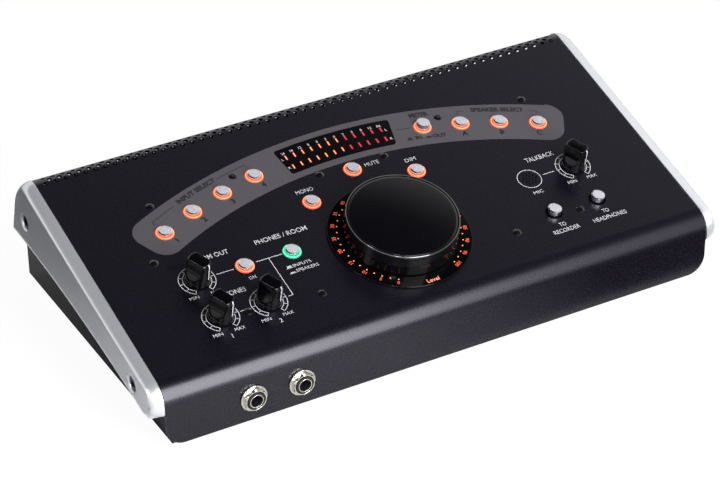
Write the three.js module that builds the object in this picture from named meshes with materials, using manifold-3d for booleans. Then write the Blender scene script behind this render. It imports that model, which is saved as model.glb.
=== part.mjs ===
// A desktop studio monitor controller: a folded steel wedge with a tilted control panel between two
// satin metal cheeks. It carries one large volume knob on a lit scale, four pointer knobs, fifteen push
// buttons, a twelve-step level meter, a talkback microphone and two headphone sockets.
// Millimetres, +Z up, the front face towards -Y, the origin on the desk under the middle of the unit.

import * as THREE from 'three';
import { mergeVertices } from 'three/addons/utils/BufferGeometryUtils.js';
import Module from 'manifold-3d';

const wasm = await Module();
wasm.setup();

// Casing
const panelWidth = 313.2;
const panelTilt = THREE.MathUtils.degToRad(15);
const frontEdgeHeight = 31.8;
const coverSheet = 1.5;
const frontBendRadius = 12;
const rearBendRadius = 9.5;
const frontCornerRadius = 9.8;
const bendSteps = 6;
const traySheet = 1.2;
const traySideInset = 3.4;
const rearWallHeight = 40;
const rearLedgeDepth = 11.87;
const trayRoofGap = 2.5;
const footHeight = 2.5;
const footRadius = 8;
const footInsetX = 28;
const footInsetY = 22;

// Gaps
const seatGap = 0.3;
const runningGap = 0.4;
const coverEndGap = 0.5;
const blindFloor = 1;
const overrun = 1;

// Vent holes along the rear bend
const ventPitch = 5.5;
const ventRowStep = 2.75;
const ventRadius = 1.25;
const ventCount = 56;
const ventRows = 2;
const ventSides = 4;

// Cheeks
const cheekThickness = 7;
const cheekProud = 0.4;
const cheekEdgeDrop = 2.9;
const cheekRearTaper = 0.5;
const cheekRearRadius = 17;
const cheekToeHeight = 17.6;
const cheekToeInnerRadius = 2.4;
const cheekToeRadius = 4;
const cheekRearHeight = 37.4;
const cheekBellyDepth = 92;
const cheekBellyHeight = 35.2;
const cheekBellySteps = 8;
const cheekSectionShares = [[0, 0], [0.5, 0.06], [0.76, 0.24], [0.93, 0.56], [1, 1]];
const cheekScrewFrontRow = 20.1;
const cheekScrewFrontDrop = 11.3;
const cheekScrewRearInset = 3.1;
const cheekScrewRearDrop = 20.9;
const cheekScrewHeadRadius = 3.5;
const cheekScrewHeadHeight = 2.4;
const cheekScrewShankRadius = 1.8;
const cheekScrewReach = 1;
const cheekScrewSocketRadius = 1.7;
const cheekScrewSocketDepth = 1.5;
const cheekScrewRecessRadius = 4.4;
const cheekScrewRecessDepth = 3.6;
const screwSides = 14;

// Places on the panel: columns across it from its middle line, rows up it from its front edge
const volumeRow = 50.5;
const lowRow = 34.4;
const rowPitch = 26.3;
const columnOuter = 109.7;
const columnPitch = 26.55;
const muteGap = 13.4;
const monoDrop = 13.3;
const monoColumn = 31;
const bandGap = 19.4;
const bandRadius = 260.4;
const ventMargin = 29.6;
const bandFirstAngle = THREE.MathUtils.degToRad(11.1);
const bandStepAngle = THREE.MathUtils.degToRad(4.67);
const bandButtons = 4;
const talkbackColumn = 110.8;
const micColumn = 83.9;

// Push buttons with their light guides and switches
const buttonRadius = 3.6;
const buttonChamfer = 0.5;
const buttonPressedHeight = 2.1;
const buttonTravel = 1.6;
const buttonCapDepth = 6.5;
const plungerWidth = 3;
const plungerEndGap = 0.9;
const ringOuterRadius = 4.8;
const ringHeight = 0.6;
const carrierThickness = 1.5;
const carrierHalfWidth = 6.5;
const switchWidth = 8;
const switchHeight = 5;
const switchFloor = 0.4;
const talkHoleRadius = 4.6;
const buttonSides = 12;

// Circuit board under the panel
const boardDrop = 11;
const boardThickness = 1.6;
const boardSideMargin = 16.5;
const boardFrontMargin = 12.4;
const boardRearMargin = 13.3;

// Small pointer knobs and their potentiometers
const knobBaseRadius = 6.6;
const knobDraft = 0.5;
const knobHeight = 14;
const knobLift = 1;
const knobGripHeight = 9.5;
const knobGripWidth = 6.6;
const knobGripRise = 4;
const knobCrown = 1.3;
const knobRoof = 1.6;
const knobSides = 24;
const knobTurnInPhoto = THREE.MathUtils.degToRad(-150);
const shaftRadius = 2.3;
const potRadius = 6.5;
const bushRadius = 3.3;
const bushHeight = 0.6;
const potSides = 12;
const shaftSides = 12;

// Volume knob on its scale disc
const scaleRadius = 37.4;
const scaleThickness = 0.9;
const scaleFlange = 3.8;
const scaleBossDepth = 2.3;
const volumeBaseRadius = 30;
const volumeDraft = 0.6;
const volumeHeight = 14.3;
const volumeLift = 1.8;
const volumeWall = 3.4;
const volumeRoof = 2.2;
const volumeHubRadius = 7;
const volumeRim = 0.6;
const volumeCapThickness = 1;
const volumeCapInset = 0.4;
const volumeShaftRadius = 3;
const volumeShaftRoof = 3.2;
const volumeBushRadius = 4;
const volumePotRadius = 12;
const volumeSides = 40;

// Level meter
const meterHalfWidth = 31.7;
const meterDepth = 17.9;
const meterRightFlare = 2.3;
const meterProud = 0.3;
const meterLedSize = 3;
const meterLedInset = 4.6;
const meterSteps = 12;
const meterPitch = 5.1;
const meterArcSteps = 6;

// Talkback microphone
const micRadius = 5;
const micHoleRadius = 0.55;
const micHolePitch = 1.9;
const micHoleRings = 2;
const micHoleSides = 6;

// Headphone sockets on the front face and sockets on the rear wall
const jackHeight = 13;
const jackBoreRadius = 3.2;
const jackBarrelRadius = 4.6;
const jackBarrelReach = 4;
const jackBodyWidth = 16;
const jackBodyHeight = 14;
const jackBodyLength = 24;
const jackBoreDepth = 24;
const jackNutRadius = 6.35;
const jackNutThickness = 2.2;
const jackWasherRadius = 7.15;
const jackWasherThickness = 0.8;
const jackSides = 14;
const nutSides = 6;
const rearJackColumns = 4;
const rearJackRows = 2;
const rearJackPitch = 19;
const rearJackRowPitch = 16;
const rearJackFirstX = 30;
const rearJackReach = 2;
const rearJackBodyLength = 14;
const rearJackMargin = 7.5;
const usbX = -40;
const usbWidth = 12;
const usbHeight = 11;
const usbMouthWidth = 8.4;
const usbMouthHeight = 7.8;
const usbLength = 16;
const rearSocketProud = 0.6;
const powerX = -85;
const powerRadius = 7;
const powerMouthRadius = 4.6;
const powerLength = 14;

// Worked out from the sizes above
const endX = panelWidth / 2;
const trayEndX = endX - traySideInset;
const cheekInnerX = endX + coverEndGap;
const midRow = lowRow + rowPitch;
const columnInner = columnOuter - columnPitch;
const columnSource = columnInner - columnPitch;
const scaleBossRadius = scaleRadius - scaleFlange;
const muteRow = volumeRow + scaleRadius + muteGap;
const monoRow = muteRow - monoDrop;
const bandRow = muteRow + bandGap;
const bandCentreRow = bandRow - bandRadius;
const meterInnerRadius = bandRadius - meterDepth / 2;
const meterOuterRadius = bandRadius + meterDepth / 2;
const rearBendStart = bandRow + ventMargin;
const rearCornerRow = rearBendStart + rearBendRadius;
const bandEndAngle = bandFirstAngle + bandStepAngle * (bandButtons - 1);
const boardHalfWidth = bandRadius * Math.sin(bandEndAngle) + boardSideMargin;
const boardFrontRow = lowRow - boardFrontMargin;
const boardRearRow = bandRow + boardRearMargin;
const frontBendReach = frontBendRadius * Math.tan((Math.PI / 2 - panelTilt) / 2);
const coverLipHeight = rearWallHeight + runningGap;
const coverLipY = coverBackLine(0, coverLipHeight);
const trayDepth = coverLipY + rearLedgeDepth;
const rearSocketHeight = rearWallHeight / 2;
const rearJackLowHeight = rearSocketHeight - rearJackRowPitch / 2;
const panelUnderside = -coverSheet;
const carrierTop = panelUnderside - seatGap;
const boardTop = -boardDrop;
const ringInnerRadius = buttonRadius + runningGap;
const ringHoleRadius = ringOuterRadius + seatGap;
const buttonRaisedHeight = buttonPressedHeight + buttonTravel;
const switchPocketFloor = boardTop + switchFloor;
const plungerReach = buttonPressedHeight - switchPocketFloor - plungerEndGap;
const knobTop = knobLift + knobHeight;
const knobTopRadius = knobBaseRadius - knobDraft;
const shaftReach = knobTop - knobGripHeight + knobGripRise - knobRoof - seatGap;
const volumeTopRadius = volumeBaseRadius - volumeDraft;
const volumeCapSeat = volumeHeight - volumeCapThickness;
const volumeShaftReach = volumeCapSeat - volumeShaftRoof - seatGap;
const middleDepth = (trayDepth + rearJackReach - jackBarrelReach) / 2;

// Materials
function finish(color, roughness, metalness) {
  return new THREE.MeshStandardMaterial({ color, roughness, metalness });
}
const blackPaint = finish(0x1b1a1f, 0.6, 0.2);
const silverPaint = finish(0xb4b4ba, 0.35, 0.7);
const glossBlack = finish(0x08080a, 0.12, 0);
const matteBlack = finish(0x17161a, 0.6, 0);
const satinMetal = finish(0xc9c8cc, 0.3, 0.8);
const chrome = finish(0xd9d8d2, 0.12, 1);
const steel = finish(0x8c8c90, 0.35, 0.9);
const orangeLens = finish(0xff6a2a, 0.4, 0);
const greenLens = finish(0x2fd98b, 0.4, 0);
const boardGreen = finish(0x1f4a2e, 0.6, 0);
const rubberBlack = finish(0x121214, 0.9, 0);
const blackMoulding = finish(0x101012, 0.5, 0);
const smokedWindow = finish(0x0c080b, 0.15, 0);

// Boolean cuts and joins
function toSolid(geometry) {
  const bare = geometry.index ? geometry.toNonIndexed() : geometry.clone();
  bare.deleteAttribute('normal');
  bare.deleteAttribute('uv');
  const merged = mergeVertices(bare);
  const points = new Float32Array(merged.attributes.position.array);
  const corners = merged.index.array;
  const kept = [];
  for (let i = 0; i < corners.length; i += 3) {
    const [a, b, c] = [corners[i], corners[i + 1], corners[i + 2]];
    if (a !== b && b !== c && c !== a) kept.push(a, b, c);
  }
  if (signedVolume(points, kept) < 0) {
    for (let i = 0; i < kept.length; i += 3) [kept[i], kept[i + 1]] = [kept[i + 1], kept[i]];
  }
  return new wasm.Manifold(new wasm.Mesh({
    numProp: 3, vertProperties: points, triVerts: new Uint32Array(kept),
  }));
}

function signedVolume(points, corners) {
  const corner = i => new THREE.Vector3().fromArray(points, 3 * corners[i]);
  let sum = 0;
  for (let i = 0; i < corners.length; i += 3) sum += corner(i).dot(corner(i + 1).cross(corner(i + 2)));
  return sum / 6;
}

function toGeometry(solid) {
  const cutMesh = solid.getMesh();
  const geometry = new THREE.BufferGeometry();
  geometry.setAttribute('position', new THREE.BufferAttribute(new Float32Array(cutMesh.vertProperties), 3));
  geometry.setIndex(new THREE.BufferAttribute(new Uint32Array(cutMesh.triVerts), 1));
  geometry.computeVertexNormals();
  return geometry;
}

function join(...geometries) {
  return toGeometry(geometries.map(toSolid).reduce((all, next) => all.add(next)));
}

function cut(geometry, cutters) {
  return toGeometry(cutters.map(toSolid).reduce((left, next) => left.subtract(next), toSolid(geometry)));
}

// Basic forms, each placed by its own limits
function block(x0, x1, y0, y1, z0, z1) {
  const box = new THREE.BoxGeometry(x1 - x0, y1 - y0, z1 - z0);
  return box.translate((x0 + x1) / 2, (y0 + y1) / 2, (z0 + z1) / 2);
}

function rod(radius, z0, z1, sides) {
  const cylinder = new THREE.CylinderGeometry(radius, radius, z1 - z0, sides);
  return cylinder.rotateX(Math.PI / 2).translate(0, 0, (z0 + z1) / 2);
}

function turned(profile, sides) {
  const points = profile.map(([radius, height]) => new THREE.Vector2(radius, height));
  return new THREE.LatheGeometry(points, sides).rotateX(Math.PI / 2);
}

function plate(outline, z0, z1) {
  const shape = new THREE.Shape(outline.map(([x, y]) => new THREE.Vector2(x, y)));
  return new THREE.ExtrudeGeometry(shape, { depth: z1 - z0, bevelEnabled: false }).translate(0, 0, z0);
}

// A side-view outline of [y, z] points carried across the unit from x0 to x1
function acrossUnit(outline, x0, x1) {
  const turn = new THREE.Matrix4().makeBasis(
    new THREE.Vector3(0, 1, 0), new THREE.Vector3(0, 0, 1), new THREE.Vector3(1, 0, 0));
  return plate(outline, x0, x1).applyMatrix4(turn);
}

// A form built along +Z turned to run towards the rear, with its z = 0 on the plane y = 0
function towardsRear(geometry) {
  return geometry.rotateX(-Math.PI / 2);
}

function arc(centreX, centreY, radius, from, to, steps) {
  return Array.from({ length: steps + 1 }, (_, i) => {
    const angle = from + (to - from) * i / steps;
    return [centreX + radius * Math.cos(angle), centreY + radius * Math.sin(angle)];
  });
}

// The piece between two radii and two angles, measured from the band's centre, clockwise from straight up.
// A flare carries its outer arc on past the second angle
function bandSector(inner, outer, from, to, steps, z0, z1, flare = 0) {
  const angle = turn => Math.PI / 2 - turn;
  return plate([
    ...arc(0, bandCentreRow, outer, angle(from), angle(to + flare / outer), steps),
    ...arc(0, bandCentreRow, inner, angle(to), angle(from), steps),
  ], z0, z1);
}

// The panel's own frame: x across, y up the slope, z out of the panel
const panelMatrix = new THREE.Matrix4().makeRotationX(panelTilt).setPosition(0, 0, frontEdgeHeight);
const onPanel = geometry => geometry.applyMatrix4(panelMatrix);

// The [y, z] place of a point so far up the slope and so far out of the panel
function panelPoint(row, out) {
  return [
    row * Math.cos(panelTilt) - out * Math.sin(panelTilt),
    frontEdgeHeight + row * Math.sin(panelTilt) + out * Math.cos(panelTilt),
  ];
}

// The scene: the casing's frame has its z = 0 on the tray's underside and y = 0 on the front face
const controller = new THREE.Group();
const casing = new THREE.Group();
casing.position.set(0, -middleDepth, footHeight);
controller.add(casing);
const panel = new THREE.Group();
panel.position.setFromMatrixPosition(panelMatrix);
panel.rotation.x = panelTilt;
casing.add(panel);

function addPiece(parent, name, geometry, material, x = 0, y = 0, z = 0) {
  const piece = new THREE.Mesh(toGeometry(toSolid(geometry)), material);
  piece.name = name;
  piece.position.set(x, y, z);
  parent.add(piece);
  return piece;
}

// Where every push button sits, and how its cap stands in the photograph
function bandPlace(side, step) {
  const angle = side * (bandFirstAngle + bandStepAngle * step);
  return [bandRadius * Math.sin(angle), bandCentreRow + bandRadius * Math.cos(angle)];
}

const sourceNames = ['source_4', 'source_3', 'source_2', 'source_1'];
const monitorNames = ['meter', 'monitor_a', 'monitor_b', 'monitor_c'];
const alongBand = (names, side) => names.map((name, i) => ({ name, place: bandPlace(side, i) }));
const sourceButtons = alongBand(sourceNames, -1);
const monitorButtons = alongBand(monitorNames, 1);
const levelButtons = [
  { name: 'mono', place: [-monoColumn, monoRow] },
  { name: 'mute', place: [0, muteRow] },
  { name: 'dim', place: [monoColumn, monoRow] },
];
const phonesButtons = [
  { name: 'studio_on', place: [-columnInner, midRow] },
  { name: 'phones_source', place: [-columnSource, midRow] },
];
const talkButtons = [
  { name: 'talk_to_recorder', place: [columnInner, lowRow] },
  { name: 'talk_to_phones', place: [columnOuter, lowRow] },
];
const latchingButtons = [...sourceButtons, ...monitorButtons, ...levelButtons, ...phonesButtons];
const allButtons = [...latchingButtons, ...talkButtons];
const standsRaised = ({ name }) => name === 'meter' || name.startsWith('talk_');

// Where the small knobs sit
const smallKnobs = [
  { name: 'studio', place: [-columnOuter, midRow] },
  { name: 'phones_1', place: [-columnOuter, lowRow] },
  { name: 'phones_2', place: [-columnInner, lowRow] },
  { name: 'talkback', place: [talkbackColumn, midRow] },
];
const jackColumns = [['phones_jack_1', -columnOuter], ['phones_jack_2', -columnInner]];
const cheekScrewPlaces = [
  ['front', ...panelPoint(cheekScrewFrontRow, -cheekScrewFrontDrop)],
  ['rear', ...panelPoint(rearBendStart - cheekScrewRearInset, -cheekScrewRearDrop)],
];

// Top cover: one folded sheet, from the front face over the panel and down the back
function coverLine(inset) {
  const upright = Math.PI;
  const panelNormal = Math.PI / 2 + panelTilt;
  const rearNormal = panelTilt;
  const frontCentre = [frontBendRadius, frontEdgeHeight - frontBendReach];
  const rearCentre = panelPoint(rearBendStart, -rearBendRadius);
  return [
    [inset, 0],
    ...arc(...frontCentre, frontBendRadius - inset, upright, panelNormal, bendSteps),
    ...arc(...rearCentre, rearBendRadius - inset, panelNormal, rearNormal, bendSteps),
    [coverBackLine(inset, coverLipHeight), coverLipHeight],
  ];
}

// How far back the cover's rear slope is at a height, so far in from its outer face
function coverBackLine(inset, height) {
  const [centreY, centreZ] = panelPoint(rearBendStart, -rearBendRadius);
  const out = (rearBendRadius - inset) / Math.cos(panelTilt);
  return centreY + out - (height - centreZ) * Math.tan(panelTilt);
}

function ventCutters() {
  const cutters = [];
  for (let row = 0; row < ventRows; row += 1) {
    const turn = row * ventRowStep / rearBendRadius;
    const shift = row % 2 === 0 ? 0 : ventPitch / 2;
    for (let i = 0; i < ventCount - row % 2; i += 1) {
      const hole = rod(ventRadius, -coverSheet - overrun, overrun, ventSides);
      hole.translate(0, 0, rearBendRadius).rotateX(-turn).translate(0, 0, -rearBendRadius);
      hole.translate((i - (ventCount - 1) / 2) * ventPitch + shift, rearBendStart, 0);
      cutters.push(onPanel(hole));
    }
  }
  return cutters;
}

function panelHole(radius, [x, y], sides) {
  return onPanel(rod(radius, -coverSheet - overrun, overrun, sides).translate(x, y, 0));
}

function frontCornerCutters() {
  const r = frontCornerRadius;
  const roundEdge = arc(r, r, r, Math.PI, 1.5 * Math.PI, bendSteps);
  const corner = [[0, -overrun], [-overrun, -overrun], [-overrun, r], ...roundEdge];
  const cutter = plate(corner, 0, frontBendRadius);
  cutter.rotateX(Math.PI / 2).translate(-endX, frontBendRadius - overrun, 0);
  return [cutter, cutter.clone().scale(-1, 1, 1)];
}

function meterOpening(grow, z0, z1) {
  const middleRadius = (meterInnerRadius + meterOuterRadius) / 2;
  const half = Math.asin((meterHalfWidth + grow) / middleRadius);
  return bandSector(
    meterInnerRadius - grow, meterOuterRadius + grow, -half, half, meterArcSteps, z0, z1, meterRightFlare);
}

// The microphone's holes stand in rings of a honeycomb, one round another
function micHolePlaces() {
  const steps = Array.from({ length: 2 * micHoleRings + 1 }, (_, i) => i - micHoleRings);
  return steps.flatMap(row => steps.filter(column => Math.abs(row + column) <= micHoleRings).map(column => [
    micColumn + micHolePitch * (column + row / 2),
    midRow + micHolePitch * row * Math.sin(Math.PI / 3),
  ]));
}

function topCover() {
  const sheetOutline = [...coverLine(0), ...coverLine(coverSheet).reverse()];
  const lit = latchingButtons.map(({ place }) => panelHole(ringHoleRadius, place, buttonSides));
  const talk = talkButtons.map(({ place }) => panelHole(talkHoleRadius, place, buttonSides));
  const pots = smallKnobs.map(({ place }) => panelHole(bushRadius + runningGap, place, shaftSides));
  const mic = micHolePlaces().map(place => panelHole(micHoleRadius, place, micHoleSides));
  const jacks = jackColumns.map(([, x]) => towardsRear(
    rod(jackBarrelRadius + seatGap, -overrun, coverSheet + overrun, jackSides)).translate(x, 0, jackHeight));
  return cut(acrossUnit(sheetOutline, -endX, endX), [
    ...ventCutters(), ...lit, ...talk, ...pots, ...mic, ...jacks, ...frontCornerCutters(),
    panelHole(scaleBossRadius + seatGap, [0, volumeRow], volumeSides),
    onPanel(meterOpening(seatGap, -coverSheet - overrun, overrun)),
  ]);
}
addPiece(casing, 'top_cover', topCover(), blackPaint);

// Base tray: floor, two side walls that rise under the panel, and the rear socket wall with its ledge
const trayFrontY = coverSheet + seatGap;
const roofDrop = -coverSheet - trayRoofGap;
const ledgeFrontY = coverBackLine(coverSheet, coverLipHeight) - trayRoofGap;
const rearJackX = i => rearJackFirstX + i * rearJackPitch;
const rearJackZ = row => rearJackLowHeight + row * rearJackRowPitch;

function rearJackPlaces() {
  const rows = Array.from({ length: rearJackRows }, (_, row) => rearJackZ(row));
  const columns = Array.from({ length: rearJackColumns }, (_, i) => rearJackX(i));
  return rows.flatMap(z => columns.map(x => [x, z]));
}

function baseTray() {
  const sideOutline = [
    [trayFrontY, 0], [trayDepth, 0], [trayDepth, rearWallHeight], [ledgeFrontY, rearWallHeight],
    panelPoint(rearBendStart - trayRoofGap, roofDrop),
    panelPoint(frontBendRadius, roofDrop),
    [trayFrontY, frontEdgeHeight - frontBendRadius],
  ];
  const side = acrossUnit(sideOutline, -trayEndX, -trayEndX + traySheet);
  const rearY = trayDepth - traySheet;
  const shell = join(
    block(-trayEndX, trayEndX, trayFrontY, trayDepth, 0, traySheet),
    block(-trayEndX, trayEndX, rearY, trayDepth, 0, rearWallHeight),
    block(-trayEndX, trayEndX, ledgeFrontY, trayDepth, rearWallHeight - traySheet, rearWallHeight),
    side, side.clone().scale(-1, 1, 1));
  const screwHoles = cheekScrewPlaces.map(([, y, z]) =>
    rod(cheekScrewShankRadius + seatGap, -endX, endX, shaftSides).rotateY(Math.PI / 2).translate(0, y, z));
  const wallHole = (radius, x, z, sides) => towardsRear(
    rod(radius, rearY - overrun, trayDepth + overrun, sides)).translate(x, 0, z);
  return cut(shell, [
    ...screwHoles,
    ...rearJackPlaces().map(([x, z]) => wallHole(jackBarrelRadius + seatGap, x, z, jackSides)),
    wallHole(powerRadius + seatGap, powerX, rearSocketHeight, jackSides),
    block(usbX - usbWidth / 2 - seatGap, usbX + usbWidth / 2 + seatGap, rearY - overrun, trayDepth + overrun,
      rearSocketHeight - usbHeight / 2 - seatGap, rearSocketHeight + usbHeight / 2 + seatGap),
  ]);
}
addPiece(casing, 'base_tray', baseTray(), blackPaint);

// Rubber feet under the tray's corners
for (const [endName, y] of [['front', footInsetY], ['rear', trayDepth - footInsetY]]) {
  for (const [sideName, side] of [['left', -1], ['right', 1]]) {
    const foot = rod(footRadius, -footHeight, 0, potSides);
    addPiece(casing, `foot_${endName}_${sideName}`, foot, rubberBlack, side * (trayEndX - footInsetX), y);
  }
}

// Cheeks: a cast end piece. Its inner outline follows the cover, its outer one lies lower, with a larger round
// at the rear and at the toe, and the sections between them make a soft bevel
function cheekOutline(drop, taper, rearRadius, toeRadius) {
  const panelNormal = Math.PI / 2 + panelTilt;
  const frontRadius = frontBendRadius + cheekProud - drop;
  const frontArc = arc(frontBendRadius, frontEdgeHeight - frontBendReach, frontRadius,
    Math.PI, panelNormal, bendSteps);
  const rearCentre = panelPoint(
    rearCornerRow + cheekProud - taper - rearRadius, cheekProud - drop - rearRadius);
  const rearArc = arc(...rearCentre, rearRadius, panelNormal, panelTilt, bendSteps);
  const [backY, backZ] = rearArc[rearArc.length - 1];
  const heel = [backY + (backZ - cheekRearHeight) * Math.tan(panelTilt), cheekRearHeight];
  const toe = arc(frontBendRadius - frontRadius + toeRadius, cheekToeHeight + toeRadius, toeRadius,
    1.5 * Math.PI, Math.PI, bendSteps);
  const belly = new THREE.QuadraticBezierCurve(
    new THREE.Vector2(...heel), new THREE.Vector2(cheekBellyDepth, cheekBellyHeight),
    new THREE.Vector2(...toe[0]));
  const underside = belly.getPoints(cheekBellySteps).slice(1, -1).map(p => [p.x, p.y]);
  return [...toe, ...frontArc, ...rearArc, heel, ...underside];
}

// The triangles that fill a ring of points, each turning the same way as the ring
function endFaces(ring) {
  const points = ring.map(([y, z]) => new THREE.Vector2(y, z));
  const turn = corners => Math.sign(THREE.ShapeUtils.area(corners));
  return THREE.ShapeUtils.triangulateShape(points, []).map(([a, b, c]) => (
    turn([points[a], points[b], points[c]]) === turn(points) ? [a, b, c] : [a, c, b]));
}

function cheekBody() {
  const inner = cheekOutline(0, 0, rearBendRadius + cheekProud, cheekToeInnerRadius);
  const outer = cheekOutline(cheekEdgeDrop, cheekRearTaper, cheekRearRadius, cheekToeRadius);
  const { lerp } = THREE.MathUtils;
  const sections = cheekSectionShares.map(([depthShare, dropShare]) => ({
    x: depthShare * cheekThickness,
    ring: inner.map(([y, z], i) => [lerp(y, outer[i][0], dropShare), lerp(z, outer[i][1], dropShare)]),
  }));
  const points = sections.flatMap(({ x, ring }) => ring.map(([y, z]) => [x, y, z]));
  const count = inner.length;
  const faces = [];
  for (let s = 0; s + 1 < sections.length; s += 1) {
    for (let i = 0; i < count; i += 1) {
      const a = s * count + i;
      const b = s * count + (i + 1) % count;
      faces.push(a, b, b + count, a, b + count, a + count);
    }
  }
  const last = sections.length - 1;
  for (const [a, b, c] of endFaces(sections[0].ring)) faces.push(c, b, a);
  for (const [a, b, c] of endFaces(sections[last].ring)) {
    faces.push(a + last * count, b + last * count, c + last * count);
  }
  const body = new THREE.BufferGeometry();
  body.setAttribute('position', new THREE.Float32BufferAttribute(points.flat(), 3));
  body.setIndex(faces);
  return body;
}

function cheek(side) {
  const cutters = cheekScrewPlaces.flatMap(([, y, z]) => [
    rod(cheekScrewRecessRadius, cheekThickness - cheekScrewRecessDepth, cheekThickness + overrun, screwSides),
    rod(cheekScrewShankRadius + seatGap, -overrun, cheekThickness, shaftSides),
  ].map(cutter => cutter.rotateY(Math.PI / 2).translate(0, y, z)));
  return cut(cheekBody(), cutters).translate(cheekInnerX, 0, 0).scale(side, 1, 1);
}

function cheekScrew(side) {
  const headSeat = cheekThickness - cheekScrewRecessDepth + seatGap;
  const tip = trayEndX - traySheet - cheekScrewReach - cheekInnerX;
  const headTop = headSeat + cheekScrewHeadHeight;
  const screw = cut(join(
    rod(cheekScrewHeadRadius, headSeat, headTop, screwSides),
    rod(cheekScrewShankRadius, tip, headTop - cheekScrewSocketDepth, shaftSides),
  ), [rod(cheekScrewSocketRadius, headTop - cheekScrewSocketDepth, headTop + overrun, nutSides)]);
  return screw.rotateY(Math.PI / 2).translate(cheekInnerX, 0, 0).scale(side, 1, 1);
}

for (const [sideName, side] of [['left', -1], ['right', 1]]) {
  addPiece(casing, `cheek_${sideName}`, cheek(side), silverPaint);
  for (const [endName, y, z] of cheekScrewPlaces) {
    addPiece(casing, `cheek_screw_${sideName}_${endName}`, cheekScrew(side), steel, 0, y, z);
  }
}

// Main circuit board with its fifteen push switches
function mainBoard() {
  const carrier = block(-boardHalfWidth, boardHalfWidth, boardFrontRow, boardRearRow,
    boardTop - boardThickness, boardTop);
  const half = switchWidth / 2;
  const pocketHalf = plungerWidth / 2 + runningGap;
  const switchTop = boardTop + switchHeight;
  const bodies = allButtons.map(({ place: [x, y] }) =>
    block(x - half, x + half, y - half, y + half, boardTop - boardThickness / 2, switchTop));
  const pockets = allButtons.map(({ place: [x, y] }) => block(
    x - pocketHalf, x + pocketHalf, y - pocketHalf, y + pocketHalf, switchPocketFloor, switchTop + overrun));
  return cut(join(carrier, ...bodies), pockets);
}
addPiece(panel, 'main_circuit_board', mainBoard(), boardGreen);

// Push buttons: a chamfered cap on a square plunger that drops into its switch
function pushButton(top) {
  const r = buttonRadius;
  const base = top - buttonCapDepth;
  const shoulder = top - buttonChamfer;
  const cap = turned([[0, base], [r, base], [r, shoulder], [r - buttonChamfer, top], [0, top]], buttonSides);
  const half = plungerWidth / 2;
  return join(cap, block(-half, half, -half, half, top - plungerReach, base + overrun));
}

for (const button of allButtons) {
  const top = standsRaised(button) ? buttonRaisedHeight : buttonPressedHeight;
  addPiece(panel, `${button.name}_button`, pushButton(top), satinMetal, ...button.place);
}

// Light guides: clear collars round the buttons, moulded on a strip under the panel
function lightGuide(buttons, strip) {
  const foot = carrierTop - carrierThickness;
  const upright = (radius, from, to) => buttons.map(({ place: [x, y] }) =>
    rod(radius, from, to, buttonSides).translate(x, y, 0));
  const collars = upright(ringOuterRadius, foot + carrierThickness / 2, ringHeight);
  const bores = upright(ringInnerRadius, foot - overrun, ringHeight + overrun);
  return cut(join(strip, ...collars), bores);
}

function bandStrip(side) {
  const reach = carrierHalfWidth / bandRadius;
  const from = side * (bandFirstAngle - reach);
  const to = side * (bandEndAngle + reach);
  return bandSector(bandRadius - carrierHalfWidth, bandRadius + carrierHalfWidth, from, to, bandButtons,
    carrierTop - carrierThickness, carrierTop);
}

function levelStrip() {
  const side = carrierHalfWidth;
  const outline = [
    [-monoColumn - side, monoRow - side], [-monoColumn, monoRow - side], [0, muteRow - side],
    [monoColumn, monoRow - side], [monoColumn + side, monoRow - side], [monoColumn + side, monoRow + side],
    [0, muteRow + side], [-monoColumn - side, monoRow + side],
  ];
  return plate(outline, carrierTop - carrierThickness, carrierTop);
}

function phonesStrip() {
  return block(-columnInner - carrierHalfWidth, -columnSource + carrierHalfWidth, midRow - carrierHalfWidth,
    midRow + carrierHalfWidth, carrierTop - carrierThickness, carrierTop);
}
addPiece(panel, 'source_light_guide', lightGuide(sourceButtons, bandStrip(-1)), orangeLens);
addPiece(panel, 'monitor_light_guide', lightGuide(monitorButtons, bandStrip(1)), orangeLens);
addPiece(panel, 'level_light_guide', lightGuide(levelButtons, levelStrip()), orangeLens);
addPiece(panel, 'phones_light_guide', lightGuide(phonesButtons, phonesStrip()), greenLens);

// Level meter: a smoked window let into the panel over a bar of LEDs that stands on the board
function meterWindow() {
  const flangeTop = panelUnderside - seatGap;
  const pane = meterOpening(0, flangeTop - coverSheet / 2, meterProud);
  const flange = meterOpening(coverSheet, flangeTop - coverSheet, flangeTop);
  return join(pane, flange);
}

function meterLedBar() {
  const top = panelUnderside - seatGap - coverSheet - seatGap;
  const bottom = boardTop + seatGap;
  const middleRadius = (meterInnerRadius + meterOuterRadius) / 2;
  const half = Math.asin((meterPitch * meterSteps / 2) / middleRadius);
  const rows = [meterInnerRadius + meterLedInset, meterOuterRadius - meterLedInset];
  const bar = bandSector(
    rows[0] - meterLedSize, rows[1] + meterLedSize, -half, half, meterArcSteps, bottom, top);
  const slots = rows.map(radius => bandSector(radius - meterLedSize / 2, radius + meterLedSize / 2,
    -half + meterLedSize / middleRadius, half - meterLedSize / middleRadius, meterArcSteps,
    top - meterLedSize, top + overrun));
  return cut(bar, slots);
}
addPiece(panel, 'meter_window', meterWindow(), smokedWindow);
addPiece(panel, 'meter_led_bar', meterLedBar(), blackMoulding);

// Potentiometers: a round body under the panel with a threaded bush, bored for its shaft
function potentiometer(bodyRadius, topOut, bush, bushTop, shaft) {
  const bottom = boardTop + seatGap;
  const bore = shaft + seatGap;
  const boreFloor = bottom + blindFloor;
  return turned([
    [0, bottom], [bodyRadius, bottom], [bodyRadius, topOut], [bush, topOut], [bush, bushTop],
    [bore, bushTop], [bore, boreFloor], [0, boreFloor],
  ], potSides);
}

function shaft(radius, reach) {
  const foot = boardTop + seatGap + blindFloor + seatGap;
  return rod(radius, foot, reach, shaftSides);
}

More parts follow.
